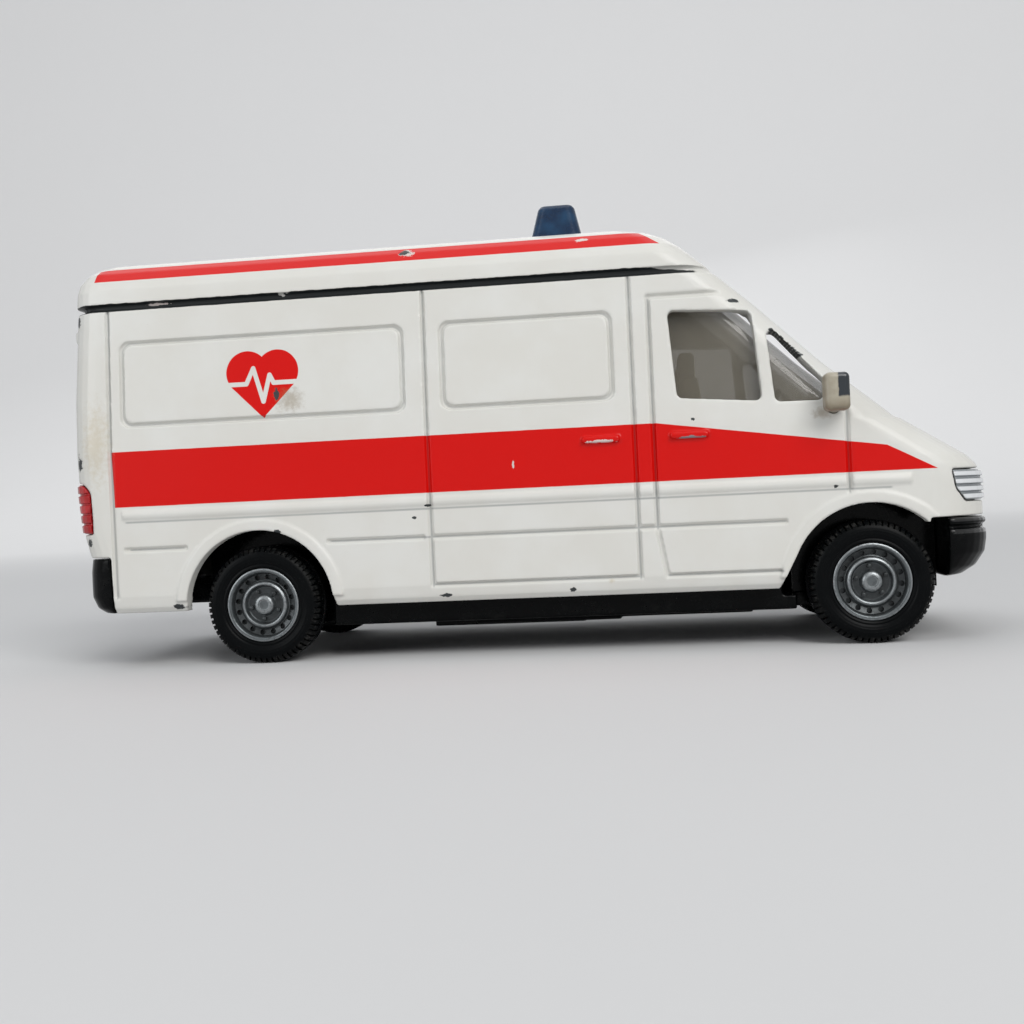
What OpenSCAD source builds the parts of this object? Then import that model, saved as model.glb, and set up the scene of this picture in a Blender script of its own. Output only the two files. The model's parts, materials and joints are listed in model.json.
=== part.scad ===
// Toy ambulance: a die-cast high-roof van on two rolling axles, with a clear cab and a blue light bar.
// Frame: +X is the front of the van, +Y its left side, +Z up. The wheels stand on Z = 0.
// All sizes are millimetres.

/* [Body] */
// Distance from the origin back to the rear doors
body_rear = 40.05; // [39.5:0.05:41]
// Distance from the origin forward to the nose
body_front = 40.05; // [39.6:0.05:40.6]
// Width over the sides
body_width = 28.6; // [27:0.1:31]
// Wall thickness of the casting
body_wall = 1.3; // [1:0.05:1.6]
// Height of the sill's lower edge
sill_z = 4.9; // [4.4:0.05:5.4]
// Height of the belt line, where the sides start to lean in
belt_z = 19.2; // [19:0.05:19.5]
// Lean of each side between the belt line and the rain gutter
side_lean = 0.75; // [0.4:0.05:1.2]
// Height of the rain gutter's lower edge
gutter_z = 31.8; // [31.2:0.05:32.2]
// Height of the rain gutter
gutter_height = 0.6; // [0.4:0.05:0.8]
// Depth of the rain gutter
gutter_depth = 0.45; // [0.3:0.05:0.6]
// Height of the roof at its edge
roof_z = 36.4; // [36:0.1:37.4]
// Rounding of the roof's long edges
roof_round = 3.8; // [3.2:0.1:4]
// Rise of the roof from its edge to its middle
roof_crown = 0.4; // [0.3:0.05:0.8]
// Rounding of the rear corners, seen from above
rear_round = 2.8; // [2:0.1:3.4]
// Rounding of the nose corners, seen from above
nose_round = 5.2; // [4.6:0.1:5.6]

/* [Bonnet and windscreen] */
// Height where the nose starts to roll into the bonnet
nose_z = 13.9; // [13.7:0.05:14.1]
// Height of the bonnet's front lip
bonnet_lip_z = 15.4; // [15.2:0.05:15.8]
// Distance from the nose back to the bonnet's rear edge
bonnet_length = 6.2; // [5.8:0.1:6.6]
// Height of the bonnet's rear edge
bonnet_z = 18.7; // [18.4:0.05:18.8]
// Distance from the nose back to the windscreen's foot
screen_foot = 7.5; // [7.2:0.05:8]
// Height of the windscreen's foot
screen_foot_z = 19.6; // [19.55:0.05:19.9]
// Distance from the nose back to the windscreen's top
screen_top = 23.2; // [22.5:0.1:24]
// Height of the windscreen's top
screen_top_z = 33.6; // [33:0.1:34]
// Distance from the nose back to the front end of the flat roof
roof_front = 29.3; // [28:0.1:30.5]

/* [Panel lines and windows] */
// Width of a panel line
groove_width = 0.4; // [0.3:0.05:0.5]
// Depth of a panel line
groove_depth = 0.3; // [0.2:0.05:0.4]
// Distance from the rear doors to the corner post's line
corner_post = 4.1; // [3.6:0.1:4.6]
// Length of the side behind the sliding door
rear_side = 32.55; // [31.5:0.05:33]
// Distance from the nose to the sliding door
slide_door_set = 29.85; // [29.65:0.05:30.35]
// Distance from the nose to the rear edge of the cab door
cab_door_end = 28.25; // [27.95:0.05:28.55]
// Distance from the nose to the front edge of the cab door
cab_door_start = 12.4; // [12.15:0.05:12.85]
// Lower edge of the blank side windows
blank_window_low = 21.3; // [20.8:0.1:21.8]
// Upper edge of the blank side windows
blank_window_high = 29; // [28.4:0.1:29.4]
// Corner rounding of the blank side windows
blank_window_round = 0.9; // [0.6:0.1:1.4]
// Lower edge of the rub strip
rub_strip_z = 13; // [12.8:0.05:13.2]
// Height of the rub strip
rub_strip_height = 1.15; // [0.9:0.05:1.3]
// How far the rub strip stands out
rub_strip_out = 0.22; // [0.15:0.01:0.3]
// Height of the crease along the lower panels
crease_z = 10.3; // [10:0.1:10.6]
// Height of the doors' lower edges
door_foot_z = 6.2; // [6:0.1:6.5]

/* [Wheels] */
// Distance between the axles
wheelbase = 52.2; // [50:0.1:53.5]
// Distance from the nose to the front axle
front_overhang = 10.8; // [10.45:0.05:11.25]
// Outside diameter of a tyre
tyre_d = 10.3; // [9.8:0.1:10.8]
// Width of a tyre
tyre_width = 3.6; // [3:0.1:3.8]
// Diameter of the wheel disc inside the tyre
hub_d = 6.5; // [6:0.1:6.8]
// Distance of the tyres' outer faces inside the body's sides
wheel_tuck = 0.7; // [0.5:0.05:1]
// Number of tread blocks round a tyre
tread_blocks = 44; // [36:1:48]
// Depth of the tread grooves
tread_depth = 0.38; // [0.25:0.01:0.5]
// Diameter of an axle
axle_d = 1.4; // [1.2:0.05:1.6]
// Radial running clearance of an axle in its saddle
axle_clearance = 0.06; // [0.04:0.01:0.08]
// Gap between a tyre and the edge of its wheel arch
arch_gap = 1.45; // [1.2:0.05:1.6]

/* [Chassis] */
// Underside of the chassis plate
plate_z = 3; // [2.8:0.05:3.1]
// Thickness of the chassis plate
plate_thickness = 1.2; // [1:0.05:1.25]
// Gap between parts that only lie beside each other
seat_gap = 0.1; // [0.08:0.01:0.14]
// Upper edge of the front bumper
front_bumper_z = 10.3; // [10.1:0.05:10.5]
// How far the front bumper stands out past the nose
front_bumper_out = 0.2; // [0.1:0.05:0.4]
// Upper edge of the rear bumper
rear_bumper_z = 9.9; // [9.6:0.05:10]
// Diameter of the rivets that hold the chassis
rivet_d = 1.8; // [1.5:0.1:2.1]

/* [Cab and trim] */
// Thickness of the clear glazing
glass_thickness = 0.7; // [0.5:0.05:0.9]
// Height of the cab floor's underside
cab_floor_z = 12.4; // [12.2:0.05:12.6]
// Thickness of the cab's mouldings
cab_wall = 0.8; // [0.6:0.05:1]
// Distance of each seat from the middle of the van
seat_offset = 5.6; // [5.2:0.1:6]
// Distance from the nose to the middle of the light bar
light_bar_set = 36.1; // [35:0.05:38]
// Length of the light bar across the roof
light_bar_width = 16; // [13:0.5:17]
// Depth of the light bar at its foot
light_bar_depth = 4.6; // [4:0.1:5.2]
// Height of the light bar above the roof's edge
light_bar_height = 3.5; // [3:0.1:4]
// How deep the lamps sit in the body
lamp_depth = 0.9; // [0.7:0.05:1]
// How far the lamps stand out of the body
lamp_out = 0.12; // [0.08:0.01:0.2]

/* [Hidden] */
$fn = 48;

right_side = -1;
left_side = 1;
sides = [right_side, left_side];
half_width = body_width / 2;
gutter_half = half_width - side_lean;
gutter_top = gutter_z + gutter_height;
roof_spring_z = roof_z - roof_round;
rear_roof_round = 2.6;
rear_x = -body_rear;
nose_x = body_front;
bonnet_x = nose_x - bonnet_length;
screen_foot_x = nose_x - screen_foot;
screen_top_x = nose_x - screen_top;
roof_front_x = nose_x - roof_front;
slide_door_rear = rear_x + rear_side;
slide_door_front = nose_x - slide_door_set;
cab_door_rear = nose_x - cab_door_end;
cab_door_front = nose_x - cab_door_start;
light_bar_x = nose_x - light_bar_set;
front_axle_x = nose_x - front_overhang;
rear_axle_x = front_axle_x - wheelbase;
wheel_span = body_width - 2 * wheel_tuck;
axle_z = tyre_d / 2;
axles = [front_axle_x, rear_axle_x];
arch_r = tyre_d / 2 + arch_gap;
post_x = rear_x + corner_post;
lean_angle = atan(side_lean / (gutter_z - belt_z));
groove_step = 0.05;
roof_step = 0.1;
sill_tuck = 0.6;

// Side profile tables: height, then the width or the end of the body at that height
arc_steps = [0 : 15 : 90];
width_table = concat(
    [
        [sill_z, half_width - sill_tuck],
        [sill_z + 0.5, half_width - 0.2],
        [sill_z + 1.5, half_width],
        [belt_z, half_width],
        [gutter_z, gutter_half],
        [gutter_z + groove_step, gutter_half - gutter_depth],
        [gutter_top - groove_step, gutter_half - gutter_depth],
        [gutter_top, gutter_half + roof_step]
    ],
    [
        for (a = arc_steps)
            [roof_spring_z + roof_round * sin(a), gutter_half + roof_step - roof_round * (1 - cos(a))]
    ],
    [
        [roof_z + roof_crown / 2, gutter_half - roof_round - 2.5],
        [roof_z + roof_crown, gutter_half - roof_round - 5.5]
    ]
);
rear_table = concat(
    [
        [sill_z, rear_x + 1.4],
        [rear_bumper_z, rear_x + 0.9],
        [rear_bumper_z + 2, rear_x + 0.4],
        [bonnet_lip_z, rear_x + 0.1],
        [belt_z, rear_x],
        [belt_z + 5, rear_x],
        [gutter_z, rear_x + 0.4],
        [gutter_z + groove_step, rear_x + 0.4 + gutter_depth],
        [gutter_top - groove_step, rear_x + 0.4 + gutter_depth],
        [gutter_top, rear_x + 0.35],
        [roof_z - rear_roof_round, rear_x + 0.4]
    ],
    [
        for (a = arc_steps)
            [roof_z - rear_roof_round * (1 - sin(a)), rear_x + 0.4 + rear_roof_round * (1 - cos(a))]
    ],
    [
        [roof_z + roof_crown / 2, rear_x + 5.5],
        [roof_z + roof_crown, rear_x + 9]
    ]
);
screen_low_knee_z = screen_foot_z + 0.3 * (screen_top_z - screen_foot_z);
screen_high_knee_z = screen_foot_z + 0.69 * (screen_top_z - screen_foot_z);
front_table = [
    [sill_z, nose_x],
    [nose_z - 0.6, nose_x],
    [nose_z, nose_x - 0.1],
    [(nose_z + bonnet_lip_z) / 2, nose_x - 0.45],
    [bonnet_lip_z, nose_x - 1.15],
    [bonnet_z, bonnet_x],
    [bonnet_z + 0.2, bonnet_x - 0.55],
    [screen_foot_z, screen_foot_x],
    [screen_low_knee_z, screen_foot_x - 0.325 * (screen_foot_x - screen_top_x)],
    [screen_high_knee_z, screen_foot_x - 0.69 * (screen_foot_x - screen_top_x)],
    [screen_top_z, screen_top_x],
    [screen_top_z + 0.43 * (roof_z - screen_top_z), screen_top_x - 1.55],
    [screen_top_z + 0.72 * (roof_z - screen_top_z), screen_top_x - 2.8],
    [screen_top_z + 0.93 * (roof_z - screen_top_z), screen_top_x - 4.3],
    [roof_z, roof_front_x],
    [roof_z + roof_crown / 2, roof_front_x - 2.6],
    [roof_z + roof_crown, roof_front_x - 6]
];
// Share by which an inward step grows along X where the front of the body slopes
front_slant_table = [
    [nose_z - 1, 1],
    [bonnet_lip_z, 1.9],
    [bonnet_z, 1.9],
    [screen_foot_z, 1.45],
    [roof_z, 1.45]
];
front_round_table = [
    [nose_z, nose_round],
    [bonnet_z, nose_round - 0.6],
    [screen_foot_z + 3, nose_round - 1.5],
    [roof_z, nose_round - 2]
];
front_bow_table = [
    [nose_z, 0.9],
    [screen_foot_z, 1.3],
    [screen_top_z, 1.1],
    [roof_z, 0.6],
    [roof_z + roof_crown, 0.3]
];
body_levels = concat(
    [sill_z, sill_z + 0.5, sill_z + 1.5, rear_bumper_z, rear_bumper_z + 2, nose_z - 0.6, nose_z],
    [(nose_z + bonnet_lip_z) / 2, bonnet_lip_z, (bonnet_lip_z + bonnet_z) / 2, bonnet_z],
    [bonnet_z + 0.2, belt_z, screen_foot_z],
    [screen_low_knee_z, screen_high_knee_z],
    [gutter_z, gutter_z + groove_step, gutter_top - groove_step, gutter_top],
    [for (a = [15 : 15 : 90]) roof_spring_z + roof_round * sin(a)],
    [roof_z + roof_crown / 2, roof_z + roof_crown]
);

function levels_between(low, high) =
    concat([low], [for (z = body_levels) if (z > low + 0.02 && z < high - 0.02) z], [high]);
function wide(z, d) =
    d > 0 ? min(lookup(z, width_table) - d, lookup(z + d, width_table)) : lookup(z, width_table) - d;
function back(z, d) =
    d > 0 ? max(lookup(z, rear_table) + d, lookup(z + d, rear_table)) : lookup(z, rear_table) + d;
function front(z, d) =
    d > 0
        ? min(lookup(z, front_table) - d * lookup(z, front_slant_table), lookup(z + d, front_table))
        : lookup(z, front_table) - d;

// Half of a plan outline from the middle of the tail to the middle of the nose, on the +Y side
corner_points = 6;
nose_points = 8;
bow_points = 3;
function half_outline(tail, nose, half, tail_r, nose_r, bow) =
    let(bow_angle = atan(2 * bow / (half - nose_r)))
    let(bow_y = half - nose_r + nose_r * sin(bow_angle))
    let(nose_c = nose - bow - nose_r * cos(bow_angle))
    concat(
        [[tail, 0]],
        [
            for (i = [0 : corner_points])
                let(a = 180 - 90 * i / corner_points)
                [tail + tail_r + tail_r * cos(a), half - tail_r + tail_r * sin(a)]
        ],
        [
            for (i = [0 : nose_points])
                let(a = 90 - (90 - bow_angle) * i / nose_points)
                [nose_c + nose_r * cos(a), half - nose_r + nose_r * sin(a)]
        ],
        [
            for (i = [1 : bow_points])
                let(y = bow_y * (1 - i / bow_points))
                [nose - bow * pow(y / bow_y, 2), y]
        ]
    );
function mirror_outline(pts) = concat(pts, [for (i = [len(pts) - 2 : -1 : 1]) [pts[i][0], -pts[i][1]]]);
function half_body_outline(z, d) =
    half_outline(
        back(z, d), front(z, d), wide(z, d),
        max(rear_round - max(d, 0), 0.6),
        max(lookup(z, front_round_table) - max(d, 0), 0.8),
        lookup(z, front_bow_table)
    );

// Solid through a stack of outlines, one for each height
module stacked(outlines, heights) {
    n = len(outlines[0]);
    m = len(heights);
    points = [for (k = [0 : m - 1]) for (p = outlines[k]) [p[0], p[1], heights[k]]];
    floor_face = [for (i = [0 : n - 1]) (n - i) % n];
    top_face = [for (i = [0 : n - 1]) (m - 1) * n + i];
    skin = [
        for (k = [0 : m - 2])
            for (i = [0 : n - 1])
                let(a = k * n + i, b = k * n + (i + 1) % n)
                each [[a, b + n, a + n], [a, b, b + n]]
    ];
    polyhedron(points, concat([floor_face, top_face], skin), convexity = 10);
}

// The body's outer form, moved in by d, between two heights
module body_form(d, low, high) {
    heights = levels_between(low, high);
    stacked([for (z = heights) mirror_outline(half_body_outline(z, d))], heights);
}

// The left half of the same form, through the given heights
module half_body_form(d, heights) {
    stacked([for (z = heights) half_body_outline(z, d)], heights);
}

module mirrored_sides() {
    for (s = sides)
        scale_y(s) children();
}

module scale_y(s) {
    if (s < 0)
        mirror([0, 1, 0]) children();
    else
        children();
}

// Flat outline in X and Z, pushed out of the body's left side from y0 to y1
module from_side(y0, y1) {
    translate([0, y1, 0])
        rotate([90, 0, 0])
            linear_extrude(y1 - y0) children();
}

// Places a cutter on the leaning upper side, whose face passes through the belt line
module on_upper_side() {
    translate([0, half_width, belt_z])
        rotate([lean_angle, 0, 0])
            children();
}

module rounded_rect(x0, z0, x1, z1, r) {
    translate([x0 + r, z0])
        square([x1 - x0 - 2 * r, z1 - z0]);
    translate([x0, z0 + r])
        square([x1 - x0, z1 - z0 - 2 * r]);
    for (x = [x0 + r, x1 - r])
        for (z = [z0 + r, z1 - r])
            translate([x, z])
                circle(r);
}

module rounded_ring(x0, z0, x1, z1, r, w) {
    difference() {
        rounded_rect(x0, z0, x1, z1, r);
        rounded_rect(x0 + w, z0 + w, x1 - w, z1 - w, r - w / 2);
    }
}

// Panel lines of one side: blank windows, doors, creases
groove_out = 1.5;
// The lines above the belt start a little below it, a trace narrower and deeper than those they run into
groove_lap = 0.3;
upper_groove_width = groove_width - 0.04;
upper_groove_depth = groove_depth + 0.05;
blank_windows = [[post_x + 1.05, slide_door_rear - 1.75], [slide_door_rear + 1.35, slide_door_front - 1.5]];
upper_line_x = [post_x, slide_door_rear, slide_door_front, cab_door_rear];
module upper_grooves() {
    on_upper_side()
        from_side(-upper_groove_depth, groove_out) {
            for (w = blank_windows)
                rounded_ring(
                    w[0], blank_window_low - belt_z, w[1], blank_window_high - belt_z,
                    blank_window_round, groove_width
                );
            for (x = upper_line_x)
                let(top = x < cab_door_rear ? gutter_z : cab_frame_z)
                translate([x - upper_groove_width / 2, -groove_lap])
                    square([upper_groove_width, top - belt_z + groove_lap]);
            translate([cab_door_rear - upper_groove_width / 2, cab_frame_z - belt_z])
                square([screen_top_x + 2.6 - cab_door_rear, groove_width]);
        }
}

cab_frame_z = blank_window_high + 0.75;
cab_door_toe = 0.7;
module lower_grooves() {
    from_side(half_width - groove_depth, half_width + groove_out) {
        for (x = [post_x, slide_door_rear, slide_door_front])
            translate([x - groove_width / 2, door_foot_z])
                square([groove_width, belt_z - door_foot_z]);
        translate([cab_door_rear - groove_width / 2, crease_z])
            square([groove_width, belt_z - crease_z]);
        polygon([
            [cab_door_rear - groove_width / 2, crease_z], [cab_door_rear + groove_width / 2, crease_z],
            [cab_door_rear + cab_door_toe + groove_width / 2, door_foot_z],
            [cab_door_rear + cab_door_toe - groove_width / 2, door_foot_z]
        ]);
        translate([cab_door_front - groove_width / 2, arch_r + axle_z + 0.9])
            square([groove_width, screen_foot_z - arch_r - axle_z - 0.9]);
        for (run = foot_runs)
            translate([run[0] - groove_width / 2, door_foot_z])
                square([run[1] - run[0] + groove_width, groove_width]);
        for (run = crease_runs)
            translate([run[0], crease_z])
                square([run[1] - run[0], groove_width]);
    }
}
foot_runs = [
    [slide_door_rear, slide_door_front],
    [cab_door_rear + cab_door_toe, front_axle_x - arch_r - 0.9]
];
crease_runs = [
    [post_x + 0.9, rear_axle_x - arch_r + 0.3],
    [rear_axle_x + arch_r - 0.4, slide_door_rear - 0.5],
    [slide_door_rear, slide_door_front],
    [slide_door_front, cab_door_rear],
    [cab_door_rear, front_axle_x - arch_r - 0.1]
];

// Raised forms of one side: rub strip, arch lips, door handles
strip_ends = [post_x + 0.9, nose_x - 7.5];
strip_gap = 0.3;
arch_lip_width = 0.9;
arch_lip_out = 0.16;
handle_length = 3.2;
handle_out = 0.42;
slide_handle_x = slide_door_front - 4.45;
cab_handle_x = cab_door_rear + 1.35;
handle_z = belt_z - 1.4;
module rub_strip(x0, x1) {
    r = rub_strip_height / 2;
    drop = r - rub_strip_out;
    intersection() {
        translate([x0, half_width - drop, rub_strip_z + r])
            rotate([0, 90, 0])
                cylinder(r = r, h = x1 - x0);
        translate([x0, half_width - 0.2, rub_strip_z])
            cube([x1 - x0, 1, rub_strip_height]);
    }
}
strip_cuts = [slide_door_rear, slide_door_front, cab_door_rear, cab_door_front];
strip_starts = concat([strip_ends[0]], [for (x = strip_cuts) x + strip_gap / 2]);
strip_stops = concat([for (x = strip_cuts) x - strip_gap / 2], [strip_ends[1]]);
module arch_lip(x) {
    intersection() {
        translate([x, half_width + arch_lip_out, axle_z])
            rotate([90, 0, 0])
                difference() {
                    cylinder(r = arch_r + arch_lip_width, h = 0.6);
                    translate([0, 0, -1])
                        cylinder(r = arch_r, h = 3);
                }
        translate([x - 2 * arch_r, 0, sill_z + 0.9])
            cube([4 * arch_r, 2 * half_width, 3 * arch_r]);
    }
}
module door_handle(x) {
    translate([x, half_width - 0.3, handle_z])
        from_side(0, 0.3 + handle_out)
            rounded_rect(0, 0, handle_length, 0.55, 0.25);
}
module raised_trim() {
    for (i = [0 : len(strip_starts) - 1])
        rub_strip(strip_starts[i], strip_stops[i]);
    arch_lip(front_axle_x);
    arch_lip(rear_axle_x);
    door_handle(cab_handle_x);
}

// Cab door window and quarter window of one side, as outlines in X and Z
window_round = 0.5;
pane_rear = cab_door_rear + 1.55;
pane_front = pane_rear + 6.95;
quarter_rear = pane_front + 1.15;
door_pane = [
    [pane_rear, blank_window_high - 0.35], [pane_rear + 0.55, blank_window_low - 0.1],
    [pane_front + 0.6, blank_window_low - 0.7], [pane_front, blank_window_high - 0.75]
];
quarter_pane = [
    [quarter_rear - 0.1, blank_window_high - 1.5], [quarter_rear + 0.5, blank_window_low - 0.85],
    [quarter_rear + 4.2, blank_window_low - 0.9], [quarter_rear + 5.1, blank_window_low + 0.15]
];
module softened(pts, r) {
    offset(r = r, $fn = 24)
        offset(delta = -r)
            polygon(pts);
}
module side_windows() {
    from_side(half_width - 4, half_width + 2) {
        softened(door_pane, window_round);
        softened(quarter_pane, window_round);
    }
}

// Windscreen opening as an outline in Y and Z, pushed along X
screen_low_z = screen_foot_z + 1;
screen_high_z = screen_top_z + 0.2;
screen_low_half = half_width - 3.4;
screen_high_half = half_width - 4.5;
screen_outline = [
    [-screen_low_half, screen_low_z], [screen_low_half, screen_low_z],
    [screen_high_half, screen_high_z], [-screen_high_half, screen_high_z]
];
module windscreen_opening() {
    translate([screen_top_x - 6, 0, 0])
        rotate([90, 0, 90])
            linear_extrude(screen_foot_x - screen_top_x + 8)
                softened(screen_outline, 1);
}

// Panel lines of the moulded rear doors
rear_window_half = half_width - 3.4;
rear_door_top = gutter_z - 0.9;
rear_handle_out = 0.2;
module rear_door_grooves() {
    translate([rear_x - 1, 0, 0])
        rotate([90, 0, 90])
            linear_extrude(1 + groove_depth + 0.1) {
                translate([-groove_width / 2, rear_bumper_z])
                    square([groove_width, rear_door_top - rear_bumper_z]);
                for (s = sides)
                    mirror([s < 0 ? 1 : 0, 0])
                        rounded_ring(
                            1.5, blank_window_low, rear_window_half, blank_window_high,
                            blank_window_round, groove_width
                        );
                rounded_ring(
                    -half_width + 2, rear_bumper_z - 1, half_width - 2, rear_door_top, 1, groove_width
                );
            }
}
module rear_door_fittings() {
    translate([rear_x - rear_handle_out, 0.7, belt_z - 1.2])
        cube([1, 2.6, 0.6]);
    for (s = sides)
        for (z = [rear_bumper_z + 7.2, belt_z + 0.6, blank_window_high + 0.4])
            translate([back(z, 0) + 0.2, s * (half_width - 2.9), z])
                cylinder(r = 0.35, h = 1.1);
}

// Lamp outlines: where each lamp meets the skin
headlight_low = nose_z - 2.3;
headlight_high = nose_z + 0.2;
headlight_rear = nose_x - 4.1;
headlight_inner = 5.6;
tail_light_low = rear_bumper_z + 2.2;
tail_light_high = tail_light_low + 4.4;
tail_light_front = rear_x + 2;
tail_light_inner = half_width - 2.6;
module headlight_prism(g) {
    translate([0, headlight_inner - g, 0])
        from_side(0, half_width + 2 - headlight_inner)
            polygon([
                [headlight_rear - g, headlight_high + g], [headlight_rear + 0.3 - g, headlight_low + 1],
                [headlight_rear + 1.1 - g, headlight_low - g], [nose_x + 2, headlight_low - g],
                [nose_x + 2, headlight_high + g]
            ]);
}
module tail_light_prism(g) {
    r = 1.4;
    translate([0, tail_light_inner - g, 0])
        from_side(0, half_width + 2 - tail_light_inner) {
            translate([rear_x - 2, tail_light_low - g])
                square([tail_light_front - rear_x + 2 + g, tail_light_high - tail_light_low - r + g]);
            translate([rear_x - 2, tail_light_low - g])
                square([tail_light_front - rear_x + 2 - r, tail_light_high - tail_light_low + 2 * g]);
            translate([tail_light_front - r, tail_light_high - r])
                circle(r + g);
        }
}
module lamp_pocket(low, high) {
    difference() {
        children();
        half_body_form(lamp_depth + seat_gap, levels_between(low - 1, high + 1));
    }
}

// Grille opening in the nose
grille_half = 4.6;
grille_low = front_bumper_z + 0.9;
grille_high = nose_z + 0.1;
grille_depth = 0.85;
module grille_block(g) {
    translate([nose_x - grille_depth - g, -grille_half - g, grille_low - g])
        cube([grille_depth + 1 + g, 2 * (grille_half + g), grille_high - grille_low + 2 * g]);
}

// Bosses inside the body that take the rivets, and the heights where each rivet's head and boss end
rivet_x = [nose_x - 2.9, rear_x + 3.4];
bumper_low = [sill_z + 0.35, sill_z];
rivet_head_height = 0.6;
rivet_web = 1.2;
rivet_depth = 3.2;
boss_r = rivet_d / 2 + 0.9;
boss_low = [for (z = bumper_low) z + rivet_head_height + rivet_web];
boss_high = front_bumper_z + 0.7;
module rivet_bosses() {
    for (i = [0, 1])
        translate([rivet_x[i], 0, boss_low[i]])
            cylinder(r = boss_r, h = boss_high - boss_low[i]);
    translate([rivet_x[0], -boss_r + 0.2, front_bumper_z])
        cube([nose_x - body_wall - rivet_x[0] + 0.2, 2 * boss_r - 0.4, boss_high - front_bumper_z]);
    translate([rear_x + body_wall, -boss_r + 0.2, rear_bumper_z])
        cube([rivet_x[1] - rear_x - body_wall, 2 * boss_r - 0.4, boss_high - rear_bumper_z]);
}
module rivet_bores() {
    for (i = [0, 1])
        translate([rivet_x[i], 0, boss_low[i] - 1])
            cylinder(d = rivet_d, h = rivet_depth + 1);
}

// Wheel arch openings of one side, with the sloped foot behind the front wheel
module arch_openings() {
    for (x = axles)
        translate([x, half_width + 3, axle_z])
            rotate([90, 0, 0])
                cylinder(r = arch_r, h = 8);
    from_side(half_width - 5, half_width + 3) {
        polygon([
            [front_axle_x - arch_r * cos(32), axle_z + arch_r * sin(32)],
            [front_axle_x - arch_r - 1.5, sill_z - 1],
            [front_axle_x, sill_z - 1]
        ]);
        for (t = [-1, 1])
            polygon([
                [rear_axle_x + t * arch_r * cos(20), axle_z + arch_r * sin(20)],
                [rear_axle_x + t * (arch_r + 0.4), sill_z - 1],
                [rear_axle_x, sill_z - 1]
            ]);
    }
}

// Spaces of the bumpers below the body's two ends
module bumper_spaces() {
    bumper_rear = front_axle_x + arch_r - 1.9;
    translate([bumper_rear, -half_width - 2, sill_z - 2])
        cube([nose_x + 4 - bumper_rear, body_width + 4, front_bumper_z - sill_z + 2]);
    translate([rear_x - 2, -half_width - 2, sill_z - 2])
        cube([corner_post - 0.4 + 2, body_width + 4, rear_bumper_z - sill_z + 2]);
}

peg_r = 0.9;
peg_places = [for (s = sides) [light_bar_x, s * light_bar_width * 0.3]];
mirror_peg_r = 0.5;
mirror_x = cab_door_front - 1.05;
mirror_z = blank_window_low - 1.55;

module body_shell() {
    color("white")
        difference() {
            union() {
                difference() {
                    union() {
                        body_form(0, sill_z, roof_z + roof_crown);
                        mirrored_sides() raised_trim();
                        scale_y(right_side) door_handle(slide_handle_x);
                        rear_door_fittings();
                    }
                    body_form(body_wall, sill_z - 1, roof_z + roof_crown - body_wall);
                    bumper_spaces();
                }
                rivet_bosses();
            }
            mirrored_sides() {
                upper_grooves();
                lower_grooves();
                side_windows();
                arch_openings();
                lamp_pocket(headlight_low, headlight_high) headlight_prism(seat_gap);
                lamp_pocket(tail_light_low, tail_light_high) tail_light_prism(seat_gap);
                translate([mirror_x, half_width - 3, mirror_z])
                    rotate([-90, 0, 0])
                        cylinder(r = mirror_peg_r + seat_gap / 2, h = 5);
            }
            rear_door_grooves();
            windscreen_opening();
            grille_block(seat_gap);
            rivet_bores();
            for (p = peg_places)
                translate([p[0], p[1], roof_z - body_wall - 1])
                    cylinder(r = peg_r + seat_gap / 2, h = 4);
        }
}

// Clear moulding behind the windscreen and the cab's side windows
glass_low = belt_z + 0.45;
glass_high = screen_top_z + 0.75;
module window_glazing() {
    outer = body_wall + seat_gap;
    color("lightcyan")
        difference() {
            intersection() {
                body_form(outer, glass_low, glass_high);
                translate([pane_rear - 1, -half_width, 0])
                    cube([body_front, body_width, roof_z]);
            }
            body_form(outer + glass_thickness, glass_low - 1, glass_high + 1);
        }
}

// Tan moulding of the cab: floor, bulkhead, seats and dashboard
cab_half = half_width - body_wall - 2 * seat_gap - glass_thickness - 0.4;
cab_rear = cab_door_rear - 2.05;
cab_front = screen_foot_x - 3;
cab_floor_top = cab_floor_z + cab_wall;
seat_width = 5.6;
seat_back_x = cab_door_rear + 4.4;
seat_length = 5.2;
seat_back_high = 10.4;
headrest_high = 2.5;
headrest_deep = 1.5;
headrest_wide = 3;
bulkhead_top = min(gutter_z - 0.6, screen_top_z - 2.4);
dash_x = quarter_rear + 3.4;
dash_z = blank_window_low - 0.4;
dash_half = cab_half - 2.7;
leg_r = 1.3;
module seat(y) {
    translate([seat_back_x - 1.2, y - seat_width / 2, cab_floor_top - 0.1]) {
        translate([0, seat_width, 0])
            rotate([90, 0, 0])
                linear_extrude(seat_width)
                    softened([
                        [0, 0], [seat_length + 1.2, 0], [seat_length + 1.2, 3], [1.9, 2.5],
                        [0.9, seat_back_high], [-0.9, seat_back_high], [-0.7, 2.5]
                    ], 0.4);
        translate([-headrest_deep / 2, (seat_width - headrest_wide) / 2, seat_back_high - 0.2])
            from_side(0, headrest_wide)
                rounded_rect(0, 0, headrest_deep, headrest_high, 0.5);
    }
}
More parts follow.
